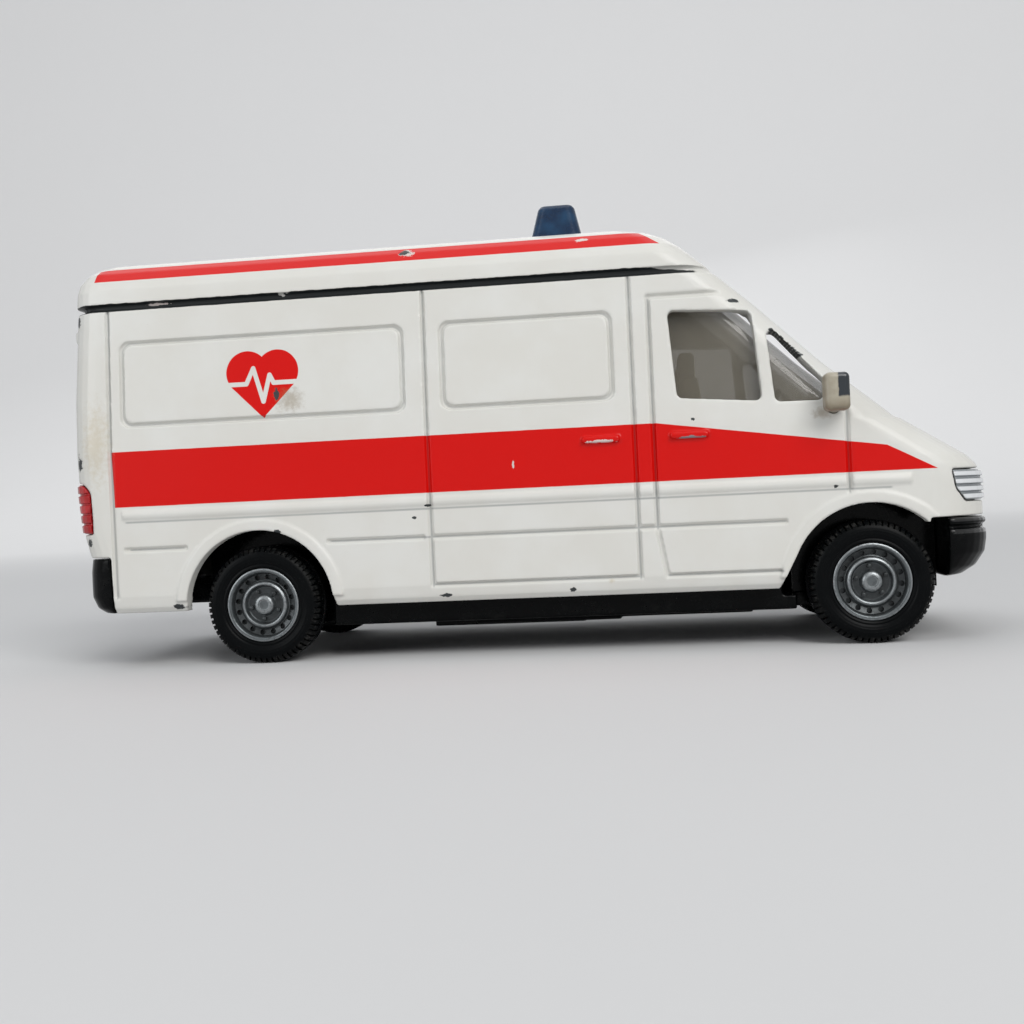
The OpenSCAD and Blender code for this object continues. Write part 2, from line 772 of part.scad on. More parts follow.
module cab_interior() {
    color("tan") {
        translate([cab_rear, -cab_half, cab_floor_z])
            cube([cab_front - cab_rear, 2 * cab_half, cab_wall]);
        translate([cab_rear, -cab_half, cab_floor_z])
            cube([cab_wall, 2 * cab_half, bulkhead_top - cab_floor_z]);
        for (s = sides)
            seat(s * seat_offset);
        from_side(-dash_half, dash_half)
            softened([
                [dash_x, dash_z], [dash_x - 0.6, dash_z - 1.6], [dash_x + 0.6, cab_floor_z],
                [cab_front - 0.6, cab_floor_z], [cab_front - 0.6, screen_foot_z - 2.6], [dash_x + 2.2, dash_z]
            ], 0.4);
        for (s = sides)
            translate([seat_back_x + 1.5, s * seat_offset, plate_top])
                cylinder(r = leg_r, h = cab_floor_z - plate_top + 0.1);
    }
}

// Steering wheel and its column, on the left of the cab
wheel_rim_r = 1.9;
wheel_tube_r = 0.32;
wheel_tilt = 62;
column_length = 1.4;
module steering_wheel() {
    color("dimgray")
        translate([dash_x - 1.5, seat_offset, dash_z + 0.3])
            rotate([0, -wheel_tilt, 0]) {
                rotate_extrude()
                    translate([wheel_rim_r, 0])
                        circle(wheel_tube_r, $fn = 24);
                cylinder(r = 0.65, h = 0.5, center = true);
                translate([0, 0, -column_length])
                    cylinder(r = 0.35, h = column_length);
                for (a = [90, 210, 330])
                    rotate([0, 0, a])
                        translate([0, -0.2, -0.15])
                            cube([wheel_rim_r, 0.4, 0.3]);
            }
}

// Black plastic chassis: plate, rails, axle saddles, both bumpers and the moulded underbody
plate_top = plate_z + plate_thickness;
saddle_inner = 5;
saddle_outer = wheel_span / 2 - tyre_width - 0.7;
saddle_length = 4.4;
saddle_top = axle_z + 2.2;
plate_half = half_width - sill_tuck - body_wall - 2 * seat_gap;
wheel_room = tyre_d / 2 + 0.9;
rail_width = 1.2;
shield_thickness = 0.8;
rail_top = sill_z + 1.3;
pad_z = plate_z - 1;
pad_length = 14;
pad_set = 13.95;
pad_x = [rear_axle_x + pad_set, rear_axle_x + pad_set + pad_length];
pad_half = 6;
plate_rear = rear_axle_x - 4.6;
plate_front = front_axle_x + 4.6;
deck_half = saddle_outer - shield_thickness - 2 * seat_gap;
half_plate = [
    [plate_rear, saddle_outer], [rear_axle_x + wheel_room, saddle_outer],
    [rear_axle_x + wheel_room, plate_half], [front_axle_x - wheel_room, plate_half],
    [front_axle_x - wheel_room, saddle_outer], [plate_front, saddle_outer]
];
other_half_plate = [for (i = [len(half_plate) - 1 : -1 : 0]) [half_plate[i][0], -half_plate[i][1]]];
rail_run = [rear_axle_x + wheel_room, front_axle_x - wheel_room - 1.2];
module chassis_plate() {
    translate([0, 0, plate_z])
        linear_extrude(plate_thickness)
            polygon(concat(half_plate, other_half_plate));
    for (s = sides)
        translate([rail_run[0], s > 0 ? plate_half - rail_width : -plate_half, plate_z + 0.4])
            cube([rail_run[1] - rail_run[0], rail_width, rail_top - plate_z - 0.4]);
}
module saddle_profile(x) {
    slot_r = axle_d / 2 + axle_clearance;
    difference() {
        translate([x - saddle_length / 2, plate_z + 0.4])
            square([saddle_length, saddle_top - plate_z - 0.4]);
        translate([x, axle_z])
            circle(slot_r);
        translate([x - slot_r, axle_z])
            square([2 * slot_r, saddle_top]);
    }
}
module axle_saddles() {
    for (x = axles)
        for (s = sides)
            scale_y(s)
                from_side(saddle_inner, saddle_outer)
                    saddle_profile(x);
}

function bumper_outline(tail, nose, half, nose_r, bow) =
    mirror_outline(half_outline(tail, nose, half, 0.5, nose_r, bow));
front_bumper_x = nose_x + front_bumper_out;
front_bumper_rear = front_axle_x + wheel_room + 0.1;
front_bumper_high = front_bumper_z - seat_gap;
front_bumper_round = nose_round - 0.3;
front_bumper_rows = [
    [bumper_low[0], 3.3],
    [bumper_low[0] + 0.15, 2],
    [bumper_low[0] + 0.85, 0.85],
    [bumper_low[0] + 2, 0.15],
    [bumper_low[0] + 3.1, 0],
    [front_bumper_high - 1, 0],
    [front_bumper_high - 0.9, 0.3],
    [front_bumper_high - 0.65, 0.3],
    [front_bumper_high - 0.55, 0],
    [front_bumper_high - 0.15, 0],
    [front_bumper_high, 0.15]
];
module front_bumper() {
    difference() {
        stacked(
            [
                for (row = front_bumper_rows)
                    bumper_outline(
                        front_axle_x, front_bumper_x - row[1],
                        half_width + 0.1 - min(row[1], 0.6) * 0.8, front_bumper_round, 1
                    )
            ],
            [for (row = front_bumper_rows) row[0]]
        );
        translate([front_axle_x - 1, -half_width - 1, 0])
            cube([front_bumper_rear - front_axle_x + 1, body_width + 2, roof_z]);
    }
    translate([plate_front - 1.8, -deck_half, plate_z + 0.4])
        cube([1.6, 2 * deck_half, bumper_low[0] + 1.9 - plate_z]);
    translate([plate_front - 1.6, -deck_half + 0.2, bumper_low[0] + 0.4])
        cube([front_bumper_rear - plate_front + 3, 2 * deck_half - 0.4, 1.6]);
}
rear_bumper_x = rear_x + 0.6;
rear_bumper_front = post_x - 0.5;
rear_bumper_high = rear_bumper_z - seat_gap;
rear_bumper_rows = [
    [bumper_low[1], 1.1],
    [bumper_low[1] + 0.5, 0.4],
    [bumper_low[1] + 1.5, 0],
    [rear_bumper_high - 1.2, 0],
    [rear_bumper_high, 0.15]
];
module rear_bumper() {
    difference() {
        stacked(
            [
                for (row = rear_bumper_rows)
                    [
                        for (p = bumper_outline(
                            -post_x - 6, -rear_bumper_x - row[1],
                            half_width - 0.1 - row[1] * 0.3, rear_round, 0.2
                        ))
                            [-p[0], -p[1]]
                    ]
            ],
            [for (row = rear_bumper_rows) row[0]]
        );
        translate([rear_bumper_front, -half_width - 1, 0])
            cube([corner_post + 6, body_width + 2, roof_z]);
    }
    translate([plate_rear + 0.2, -deck_half, plate_z + 0.4])
        cube([1.6, 2 * deck_half, bumper_low[1] + 1.9 - plate_z]);
    translate([rear_bumper_front - 0.6, -deck_half + 0.2, bumper_low[1] + 0.3])
        cube([plate_rear - rear_bumper_front + 1.4, 2 * deck_half - 0.4, 1.7]);
}
// Relief of the underbody: drive shaft, axle housing, exhaust and sump
exhaust_y = pad_half + 2.2;
silencer_x = [pad_x[0] + 0.3 * pad_length, pad_x[1] + 3.2];
exhaust_length = front_axle_x - wheel_room - 3.2 - silencer_x[1];
module underbody_relief() {
    shaft_r = 0.8;
    translate([pad_x[1] - 1, 0, plate_z])
        rotate([0, 90, 0])
            cylinder(r = shaft_r, h = front_axle_x - 3.5 - pad_x[1]);
    translate([rear_axle_x + 0.5, 0, plate_z])
        rotate([0, 90, 0])
            cylinder(r = shaft_r, h = pad_x[0] - rear_axle_x);
    translate([silencer_x[1] - 0.2, -exhaust_y, plate_z])
        rotate([0, 90, 0])
            cylinder(r = 0.5, h = exhaust_length);
    translate([silencer_x[0], -exhaust_y, plate_z + 0.3])
        rotate([0, 90, 0])
            cylinder(r = 1, h = silencer_x[1] - silencer_x[0]);
    translate([front_axle_x - 4.6, -3, pad_z + 0.3])
        cube([9.2, 6, 1.2]);
    translate([rear_axle_x, 0, pad_z + 0.15])
        cylinder(r = 1.9, h = 1.2);
}
module belly_pad() {
    translate([pad_x[0], -pad_half, pad_z])
        cube([pad_x[1] - pad_x[0], 2 * pad_half, plate_z - pad_z + 0.3]);
}
rivet_head_r = rivet_d / 2 + 0.7;
module rivet_holes() {
    for (i = [0, 1])
        translate([rivet_x[i], 0, 0]) {
            cylinder(r = rivet_d / 2 + seat_gap / 2, h = boss_low[i] + 1);
            cylinder(r = rivet_head_r + seat_gap, h = bumper_low[i] + rivet_head_height);
            translate([0, 0, boss_low[i]])
                cylinder(r = boss_r + seat_gap, h = body_width);
        }
}
module chassis_base() {
    color("black")
        difference() {
            union() {
                chassis_plate();
                axle_saddles();
                front_bumper();
                rear_bumper();
                underbody_relief();
                belly_pad();
            }
            rivet_holes();
        }
}

// Rivets that pass through the bumpers into the body's bosses
module base_rivets() {
    color("silver")
        for (i = [0, 1])
            translate([rivet_x[i], 0, bumper_low[i] + 0.05]) {
                cylinder(r = rivet_head_r, h = rivet_head_height - 0.05);
                cylinder(d = rivet_d - seat_gap, h = rivet_head_height + rivet_web + rivet_depth - 0.5);
            }
}

// Bar that closes the slots of one axle's saddles, with a shield behind each wheel
module keeper_shield(x) {
    difference() {
        translate([x - wheel_room, plate_top + seat_gap])
            square([2 * wheel_room, cab_floor_z - plate_top - 2 * seat_gap]);
        translate([x - saddle_length / 2 - seat_gap, 0])
            square([saddle_length + 2 * seat_gap, saddle_top]);
    }
}
module axle_keeper(x) {
    tongue = axle_d + 2 * axle_clearance - seat_gap;
    tongue_low = axle_z + axle_d / 2 + axle_clearance;
    color("black") {
        mirrored_sides()
            from_side(saddle_outer - shield_thickness, saddle_outer)
                keeper_shield(x);
        translate([x - saddle_length / 2, -saddle_outer, saddle_top])
            cube([saddle_length, 2 * saddle_outer, 0.9]);
        for (s = sides)
            translate([x - tongue / 2, s > 0 ? saddle_inner : -saddle_outer, tongue_low])
                cube([tongue, saddle_outer - saddle_inner, saddle_top - tongue_low + 0.1]);
    }
}

// Slatted insert in the nose
module front_grille() {
    slats = 4;
    pitch = (grille_high - grille_low) / slats;
    color("black") {
        translate([nose_x - grille_depth, -grille_half, grille_low])
            cube([0.45, 2 * grille_half, grille_high - grille_low]);
        for (i = [0 : slats - 1])
            translate([nose_x - grille_depth, -grille_half, grille_low + i * pitch + pitch * 0.2])
                cube([grille_depth - 0.25, 2 * grille_half, pitch * 0.55]);
        for (s = sides)
            translate([nose_x - grille_depth, s > 0 ? grille_half - 0.5 : -grille_half, grille_low])
                cube([grille_depth - 0.2, 0.5, grille_high - grille_low]);
    }
}

// Ribbed headlight that wraps round a nose corner
headlight_ribs = 4;
module headlight(s) {
    pitch = (headlight_high - headlight_low) / headlight_ribs;
    color("gainsboro")
        scale_y(s)
            difference() {
                intersection() {
                    union() {
                        half_body_form(0.05, levels_between(headlight_low, headlight_high));
                        for (i = [0 : headlight_ribs - 1])
                            half_body_form(
                                -lamp_out, [for (t = [0.15, 0.8]) headlight_low + (i + t) * pitch]
                            );
                    }
                    headlight_prism(0);
                }
                half_body_form(lamp_depth, levels_between(headlight_low - 1, headlight_high + 1));
            }
}

// Tail light that wraps round a rear corner
tail_light_ribs = 5;
module tail_light(s) {
    pitch = (tail_light_high - tail_light_low) / tail_light_ribs;
    color("red")
        scale_y(s)
            difference() {
                intersection() {
                    union() {
                        half_body_form(0.02, levels_between(tail_light_low, tail_light_high));
                        for (i = [0 : tail_light_ribs - 1])
                            half_body_form(
                                -lamp_out, [for (t = [0.1, 0.85]) tail_light_low + (i + t) * pitch]
                            );
                    }
                    tail_light_prism(0);
                }
                half_body_form(lamp_depth, levels_between(tail_light_low - 1, tail_light_high + 1));
            }
}

// Door mirror: a housing on a short arm, with a peg in the door
mirror_deep = 1.2;
mirror_high = 2.2;
mirror_wide = 1.9;
module door_mirror(s) {
    housing_y = half_width + 0.55;
    color("black")
        scale_y(s) {
            translate([mirror_x, housing_y, mirror_z])
                hull()
                    for (
                        x = [-0.55, mirror_deep / 2],
                        y = [0.45, mirror_wide - 0.4],
                        z = [0, mirror_high]
                    )
                        translate([x, y, z])
                            sphere(r = 0.45, $fn = 16);
            translate([mirror_x, half_width - 1, mirror_z])
                rotate([-90, 0, 0])
                    cylinder(r = mirror_peg_r, h = 2.4);
        }
}

// Blue light bar, tapered, with two pegs in the roof
bar_top_inset = 0.62;
bar_end_inset = 1.1;
bar_round = 0.8;
bar_seat = 0.05;
module light_bar() {
    low = roof_z;
    high = roof_z + light_bar_height;
    color("royalblue") {
        difference() {
            hull() {
                for (x = [-1, 1], y = [-1, 1]) {
                    translate([
                        light_bar_x + x * (light_bar_depth / 2 - bar_round),
                        y * (light_bar_width / 2 - bar_round), low
                    ])
                        cylinder(r = bar_round, h = 0.4, $fn = 24);
                    translate([
                        light_bar_x + x * (light_bar_depth / 2 - bar_top_inset - bar_round),
                        y * (light_bar_width / 2 - bar_end_inset - bar_round), high - 0.3
                    ])
                        cylinder(r1 = bar_round, r2 = bar_round - 0.25, h = 0.3, $fn = 24);
                }
            }
            translate([light_bar_x - light_bar_depth, -0.25, roof_z + 1.9])
                cube([2 * light_bar_depth, 0.5, light_bar_height]);
            translate([0, 0, bar_seat])
                body_form(0, roof_z - 1, roof_z + roof_crown);
        }
        for (p = peg_places)
            translate([p[0], p[1], roof_z - body_wall - 0.4])
                cylinder(r = peg_r, h = roof_crown + body_wall + 0.6);
    }
}

// Steel axle, from the bottom of one wheel disc's bore to the other
hub_bore = 2.2;
hub_inset = 0.2;
axle_half = wheel_span / 2 - tyre_width + hub_inset + hub_bore - seat_gap;
module axle(x) {
    color("silver")
        translate([x, 0, axle_z])
            rotate([90, 0, 0])
                cylinder(d = axle_d, h = 2 * axle_half, center = true);
}

// Tyre with rounded shoulders and notched tread, drawn with its outer face towards +Z
shoulder_r = 0.9;
module tread_notches() {
    pitch = 360 / tread_blocks;
    low = tyre_d / 2 - tread_depth;
    high = tyre_d / 2 + 1;
    difference() {
        circle(high + 1);
        polygon([
            for (i = [0 : tread_blocks - 1])
                each [
                    [low * cos(i * pitch), low * sin(i * pitch)],
                    [low * cos((i + 0.38) * pitch), low * sin((i + 0.38) * pitch)],
                    [high * cos((i + 0.38) * pitch), high * sin((i + 0.38) * pitch)],
                    [high * cos((i + 1) * pitch), high * sin((i + 1) * pitch)]
                ]
        ]);
    }
}
module tyre_form() {
    half = tyre_width / 2;
    outer = tyre_d / 2;
    inner = hub_d / 2;
    difference() {
        rotate_extrude($fn = 96) {
            translate([inner, -half])
                square([outer - shoulder_r - inner, tyre_width]);
            translate([inner, -half + shoulder_r])
                square([outer - inner, tyre_width - 2 * shoulder_r]);
            for (t = [-1, 1])
                translate([outer - shoulder_r, t * (half - shoulder_r)])
                    circle(shoulder_r);
        }
        translate([0, 0, half - shoulder_r - 0.35])
            linear_extrude(2)
                tread_notches();
        rotate([0, 0, 180 / tread_blocks])
            translate([0, 0, -half + shoulder_r + 0.35 - 2])
                linear_extrude(2)
                    tread_notches();
    }
}
module on_axle(x, s) {
    translate([x, s * (wheel_span / 2 - tyre_width / 2), axle_z])
        rotate([-90 * s, 0, 0])
            children();
}
module tyre(x, s) {
    color("black")
        on_axle(x, s)
            tyre_form();
}

// Wheel disc with its vent ring, inner ring, nuts and cap, drawn with its outer face towards +Z
vent_count = 16;
nut_count = 5;
module hub_form() {
    r = hub_d / 2;
    base = -tyre_width / 2 + hub_inset;
    face = tyre_width / 2 - hub_inset;
    ring_r = 1.9;
    difference() {
        union() {
            rotate_extrude($fn = 96)
                polygon([
                    [0, base], [r, base], [r, face - 0.1], [r - 0.1, face], [r - 0.32, face],
                    [r - 0.4, face - 0.12], [r - 0.45, face - 0.62],
                    [ring_r + 0.22, face - 0.8], [ring_r + 0.1, face - 0.42],
                    [ring_r - 0.1, face - 0.36], [ring_r - 0.22, face - 0.5], [ring_r - 0.3, face - 0.85],
                    [0.95, face - 0.85], [0.86, face - 0.35], [0.7, face - 0.2], [0, face - 0.15]
                ]);
            for (i = [0 : nut_count - 1])
                rotate([0, 0, i * 360 / nut_count])
                    translate([(ring_r - 0.3 + 0.95) / 2, 0, face - 1])
                        cylinder(r = 0.2, h = 0.5, $fn = 24);
        }
        for (i = [0 : vent_count - 1])
            rotate([0, 0, (i + 0.5) * 360 / vent_count])
                translate([(r - 0.45 + ring_r + 0.22) / 2, 0, face - 1.2])
                    cylinder(r = 0.24, h = 1, $fn = 24);
        translate([0, 0, base - 1])
            cylinder(d = axle_d, h = hub_bore + 1);
    }
}
module hub(x, s) {
    color("silver")
        on_axle(x, s)
            hub_form();
}

body_shell();
window_glazing();
cab_interior();
steering_wheel();
chassis_base();
front_grille();
headlight(left_side);  // headlight_left
headlight(right_side);  // headlight_right
tail_light(left_side);  // tail_light_left
tail_light(right_side);  // tail_light_right
door_mirror(left_side);  // mirror_left
door_mirror(right_side);  // mirror_right
light_bar();
axle(front_axle_x);  // front_axle
axle(rear_axle_x);  // rear_axle
axle_keeper(front_axle_x);  // front_axle_keeper
axle_keeper(rear_axle_x);  // rear_axle_keeper
tyre(front_axle_x, left_side);  // tyre_front_left
tyre(front_axle_x, right_side);  // tyre_front_right
tyre(rear_axle_x, left_side);  // tyre_rear_left
tyre(rear_axle_x, right_side);  // tyre_rear_right
hub(front_axle_x, left_side);  // hub_front_left
hub(front_axle_x, right_side);  // hub_front_right
hub(rear_axle_x, left_side);  // hub_rear_left
hub(rear_axle_x, right_side);  // hub_rear_right
base_rivets();
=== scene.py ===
"""Toy ambulance: a die-cast high-roof van with printed bands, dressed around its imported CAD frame."""

import json
import logging
import math
from dataclasses import dataclass
from enum import Enum
from typing import Any, Callable

import bpy
from mathutils import Matrix, Vector

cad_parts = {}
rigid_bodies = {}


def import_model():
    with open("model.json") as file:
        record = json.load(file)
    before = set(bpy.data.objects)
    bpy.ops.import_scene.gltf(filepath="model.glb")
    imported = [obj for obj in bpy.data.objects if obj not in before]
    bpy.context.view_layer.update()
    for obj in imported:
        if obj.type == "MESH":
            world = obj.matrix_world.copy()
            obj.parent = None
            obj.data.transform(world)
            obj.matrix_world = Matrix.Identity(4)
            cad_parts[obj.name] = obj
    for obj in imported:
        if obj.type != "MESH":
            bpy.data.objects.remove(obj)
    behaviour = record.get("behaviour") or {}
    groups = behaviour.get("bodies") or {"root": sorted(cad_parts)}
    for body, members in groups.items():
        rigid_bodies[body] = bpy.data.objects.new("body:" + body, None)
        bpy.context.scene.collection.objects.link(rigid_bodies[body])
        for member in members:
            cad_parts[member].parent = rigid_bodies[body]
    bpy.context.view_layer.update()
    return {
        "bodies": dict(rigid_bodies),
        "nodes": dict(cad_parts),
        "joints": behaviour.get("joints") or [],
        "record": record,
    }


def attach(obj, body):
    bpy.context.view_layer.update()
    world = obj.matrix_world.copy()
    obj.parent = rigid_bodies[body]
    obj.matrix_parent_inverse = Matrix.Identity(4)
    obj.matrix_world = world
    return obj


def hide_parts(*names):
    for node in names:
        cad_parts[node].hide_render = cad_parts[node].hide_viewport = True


LOG = logging.getLogger("ambulance")
MM = 0.001
TO_MM = Matrix.Scale(1 / MM, 4)
TO_METRES = Matrix.Scale(MM, 4)
AXLE_X = {"front": 29.25, "rear": -22.95}
AXLE_Z = 5.15
# Points nearer than these become one, in millimetres
MERGE_COPY = 0.0008
MERGE_TURNED = 0.0005
Colour = tuple[float, float, float]
Place = tuple[float, float, float]
Point = tuple[float, float]


class Side(Enum):
    """The two sides of the van, by the sign of Y."""

    RIGHT = -1
    LEFT = 1


class Mark(Enum):
    """What a spot of wear leaves on the enamel."""

    BARE = "bare metal"
    RUBBED = "rubbed grey"
    DIRT = "brown dirt"
    STAIN = "yellow stain"
    PALE = "pale scuff"


@dataclass(frozen=True)
class Spot:
    """One spot of wear on the body.

    Args:
        x, z: Centre in millimetres, seen from the side.
        rx, rz: Half sizes in millimetres.
        mark: What the spot leaves.
        low, high: Range of Y times the side's sign, in millimetres, in which it shows.
        side: Side of the van.
    """

    x: float
    z: float
    rx: float
    rz: float
    mark: Mark
    low: float = 10.0
    high: float = 20.0
    side: Side = Side.RIGHT


def chips(start: Point, end: Point, count: int, rx: float, rz: float) -> tuple[Spot, ...]:
    """A row of chips along an edge.

    Args:
        start: First chip's X and Z in millimetres.
        end: Last chip's X and Z.
        count: Number of chips.
        rx, rz: Half sizes of each chip.

    Returns:
        The chips.
    """
    (x0, z0), (x1, z1) = start, end
    shares = [i / (count - 1) for i in range(count)]
    return tuple(Spot(x0 + (x1 - x0) * t, z0 + (z1 - z0) * t, rx, rz, Mark.BARE) for t in shares)


# Shader building


class Field:
    """A shader value with Python's arithmetic; each operation adds a Math node."""

    def __init__(self, shade: "Tree", socket: bpy.types.NodeSocket) -> None:
        """Wrap an output socket."""
        self.shade = shade
        self.socket = socket

    def _math(self, operation: str, *values: Any) -> "Field":
        """Add a Math node on the given values."""
        made = self.shade.node("ShaderNodeMath", {"operation": operation}, dict(enumerate(values)))
        return Field(self.shade, made.outputs[0])

    def __add__(self, other: Any) -> "Field":
        """Sum."""
        return self._math("ADD", self, other)

    __radd__ = __add__

    def __sub__(self, other: Any) -> "Field":
        """Difference."""
        return self._math("SUBTRACT", self, other)

    def __rsub__(self, other: Any) -> "Field":
        """Reflected difference."""
        return self._math("SUBTRACT", other, self)

    def __mul__(self, other: Any) -> "Field":
        """Product."""
        return self._math("MULTIPLY", self, other)

    __rmul__ = __mul__

    def __truediv__(self, other: Any) -> "Field":
        """Quotient."""
        return self._math("DIVIDE", self, other)

    def __abs__(self) -> "Field":
        """Size without sign."""
        return self._math("ABSOLUTE", self)

    def least(self, other: Any) -> "Field":
        """The smaller of two values."""
        return self._math("MINIMUM", self, other)

    def most(self, other: Any) -> "Field":
        """The larger of two values."""
        return self._math("MAXIMUM", self, other)

    def root(self) -> "Field":
        """Square root."""
        return self._math("SQRT", self)

    def sine(self) -> "Field":
        """Sine of an angle in radians."""
        return self._math("SINE", self)

    def ramp(self, low: float, high: float) -> "Field":
        """Smooth rise from 0 at low to 1 at high.

        Args:
            low: Value that gives 0.
            high: Value that gives 1.

        Returns:
            The mask, clamped to 0 and 1.
        """
        settings = {"interpolation_type": "SMOOTHSTEP"}
        made = self.shade.node("ShaderNodeMapRange", settings, {0: self, 1: low, 2: high, 3: 0.0, 4: 1.0})
        return Field(self.shade, made.outputs[0])

    def above(self, edge: float, soft: float = 0.06) -> "Field":
        """Mask of 1 where the value passes an edge, with a soft border."""
        return self.ramp(edge - soft / 2, edge + soft / 2)

    def between(self, low: float, high: float, soft: float = 0.06) -> "Field":
        """Mask of 1 between two edges."""
        return self.above(low, soft) * (1 - self.above(high, soft))


class Tree:
    """A node tree with one method that makes its nodes."""

    def __init__(self, tree: bpy.types.NodeTree) -> None:
        """Work on a node tree."""
        self.tree = tree

    def feed(self, socket: bpy.types.NodeSocket, value: Any) -> None:
        """Link a field or a socket to an input, or set the input's own value."""
        source = value.socket if isinstance(value, Field) else value
        if isinstance(source, bpy.types.NodeSocket):
            self.tree.links.new(source, socket)
        else:
            socket.default_value = source

    def node(self, kind: str, settings: dict | None = None, values: dict | None = None) -> bpy.types.Node:
        """Add one node.

        Args:
            kind: Type of the node.
            settings: Properties that are set first.
            values: Values or links by the socket's name or number.

        Returns:
            The node.
        """
        made = self.tree.nodes.new(kind)
        for key, value in (settings or {}).items():
            setattr(made, key, value)
        for key, value in (values or {}).items():
            self.feed(made.inputs[key], value)
        return made

    def mix(self, share: Any, first: Any, second: Any) -> bpy.types.NodeSocket:
        """Mix two colours.

        Args:
            share: Mask, 0 for the first colour and 1 for the second.
            first: Colour or socket.
            second: Colour or socket.

        Returns:
            The mixed colour's socket.
        """
        full = [(*c, 1) if isinstance(c, tuple) else c for c in (first, second)]
        made = self.node("ShaderNodeMix", {"data_type": "RGBA"}, {0: share, 6: full[0], 7: full[1]})
        return made.outputs[2]

    def seen(self) -> Field:
        """Mask of the rays that show the background: straight, mirrored or through clear plastic."""
        path = self.node("ShaderNodeLightPath")
        straight, mirrored, through = (
            Field(self, path.outputs[f"Is {kind} Ray"]) for kind in ("Camera", "Glossy", "Transmission")
        )
        return (straight + mirrored + through).least(1.0)


class Shade(Tree):
    """One material: a node tree with a principled shader, read in Object coordinates in millimetres."""

    def __init__(self, name: str) -> None:
        """Start an empty material.

        Args:
            name: Name of the material.
        """
        self.material = bpy.data.materials.new(name)
        self.material.use_nodes = True
        super().__init__(self.material.node_tree)
        self.tree.nodes.clear()
        self.shader = self.node("ShaderNodeBsdfPrincipled")
        self.node("ShaderNodeOutputMaterial", None, {"Surface": self.shader.outputs[0]})
        metres = self.node("ShaderNodeTexCoord").outputs["Object"]
        scaled = self.node("ShaderNodeVectorMath", {"operation": "SCALE"}, {0: metres, "Scale": 1 / MM})
        self.place = scaled.outputs[0]
        parts = self.node("ShaderNodeSeparateXYZ", None, {0: self.place})
        self.x, self.y, self.z = (Field(self, parts.outputs[i]) for i in range(3))

    def noise(self, size: float, detail: float = 3.0, rough: float = 0.55, shift: float = 0.0) -> Field:
        """Cloudy noise from 0 to 1.

        Args:
            size: Size of a cloud in millimetres.
            detail: Octaves.
            rough: Share that each octave keeps.
            shift: Moves the pattern, so that two noises differ.

        Returns:
            The noise.
        """
        offset = (shift, 2 * shift, -shift)
        moved = self.node("ShaderNodeVectorMath", {"operation": "ADD"}, {0: self.place, 1: offset})
        values = {"Vector": moved.outputs[0], "Scale": 1 / size, "Detail": detail, "Roughness": rough}
        return Field(self, self.node("ShaderNodeTexNoise", None, values).outputs[0])

    def from_axle(self) -> Field:
        """Distance to the nearer axle's centre line, in millimetres."""
        rise = self.z - AXLE_Z
        front, rear = (((self.x - x) * (self.x - x) + rise * rise).root() for x in AXLE_X.values())
        return front.least(rear)

    def set(self, **values: Any) -> None:
        """Set sockets of the shader; underscores stand for spaces."""
        for key, value in values.items():
            self.feed(self.shader.inputs[key.replace("_", " ")], value)

    def bump(self, height: Field, depth: float, strength: float = 1.0) -> None:
        """Raise the surface by a height field.

        Args:
            height: Height from 0 to 1.
            depth: Height of 1 in millimetres.
            strength: Strength of the effect.
        """
        values = {"Height": height, "Distance": depth * MM, "Strength": strength}
        self.set(Normal=self.node("ShaderNodeBump", None, values).outputs[0])


# Finishes


@dataclass(frozen=True)
class Plastic:
    """Moulded plastic with a faint mottle, a fine skin and dust.

    Args:
        name: Name of the material.
        colour: Colour in linear light.
        rough: Roughness.
        mottle: Share by which the colour darkens in clouds.
        grain: Size of the skin's grain in millimetres.
        depth: Depth of the skin in millimetres.
        dust: Colour of the dust on faces.
        dusting: Share of dust.
        shine: Level of the reflection.
        crests: Heights of the bumper's rounded upper edges in millimetres.
        crest_x: X from which the edges are rounded, in millimetres.
        crest_high: Height of the rounding below each edge.
        crest_deep: Depth of the rounding.
        crest_lip: Height above an edge at which the rounding ends.
        polish_lip: Height above an edge at which its polish ends.
    """

    name: str
    colour: Colour
    rough: float = 0.35
    mottle: float = 0.25
    grain: float = 0.35
    depth: float = 0.006
    dust: Colour = (0.3, 0.29, 0.27)
    dusting: float = 0.05
    shine: float = 0.4
    crests: tuple[float, ...] = ()
    crest_x: float = 35.7
    crest_high: float = 0.4
    crest_deep: float = 0.6
    crest_lip: float = 0.12
    polish_lip: float = 0.1

    def make(self) -> bpy.types.Material:
        """Build the material."""
        s = Shade(self.name)
        clouds = s.noise(2.4, 4)
        speck = s.noise(0.5, 3, shift=7.0)
        shade = tuple(c * (1 - self.mottle) for c in self.colour)
        base = s.mix(clouds.ramp(0.3, 0.7), shade, self.colour)
        dusty = (clouds * speck).ramp(0.26, 0.46) * self.dusting
        s.set(Base_Color=s.mix(dusty, base, self.dust))
        s.set(Roughness=self.rough + (speck - 0.5) * 0.18 + dusty, Specular_IOR_Level=self.shine)
        skin = s.noise(self.grain, 2, shift=3.0)
        polish = None
        for z in self.crests:
            ahead = s.x.above(self.crest_x, 0.4)
            fall = s.z.ramp(z - self.crest_high, z + self.crest_high) * s.z.between(0.0, z + self.crest_lip, 0.02)
            skin = skin - fall * ahead * (self.crest_deep / self.depth)
            edge = s.z.between(z - self.crest_high, z + self.polish_lip, 0.1) * ahead
            polish = edge if polish is None else polish.most(edge)
        if polish is not None:
            s.set(Coat_Weight=polish, Coat_Roughness=0.05)
        s.bump(skin, self.depth, 0.6)
        return s.material


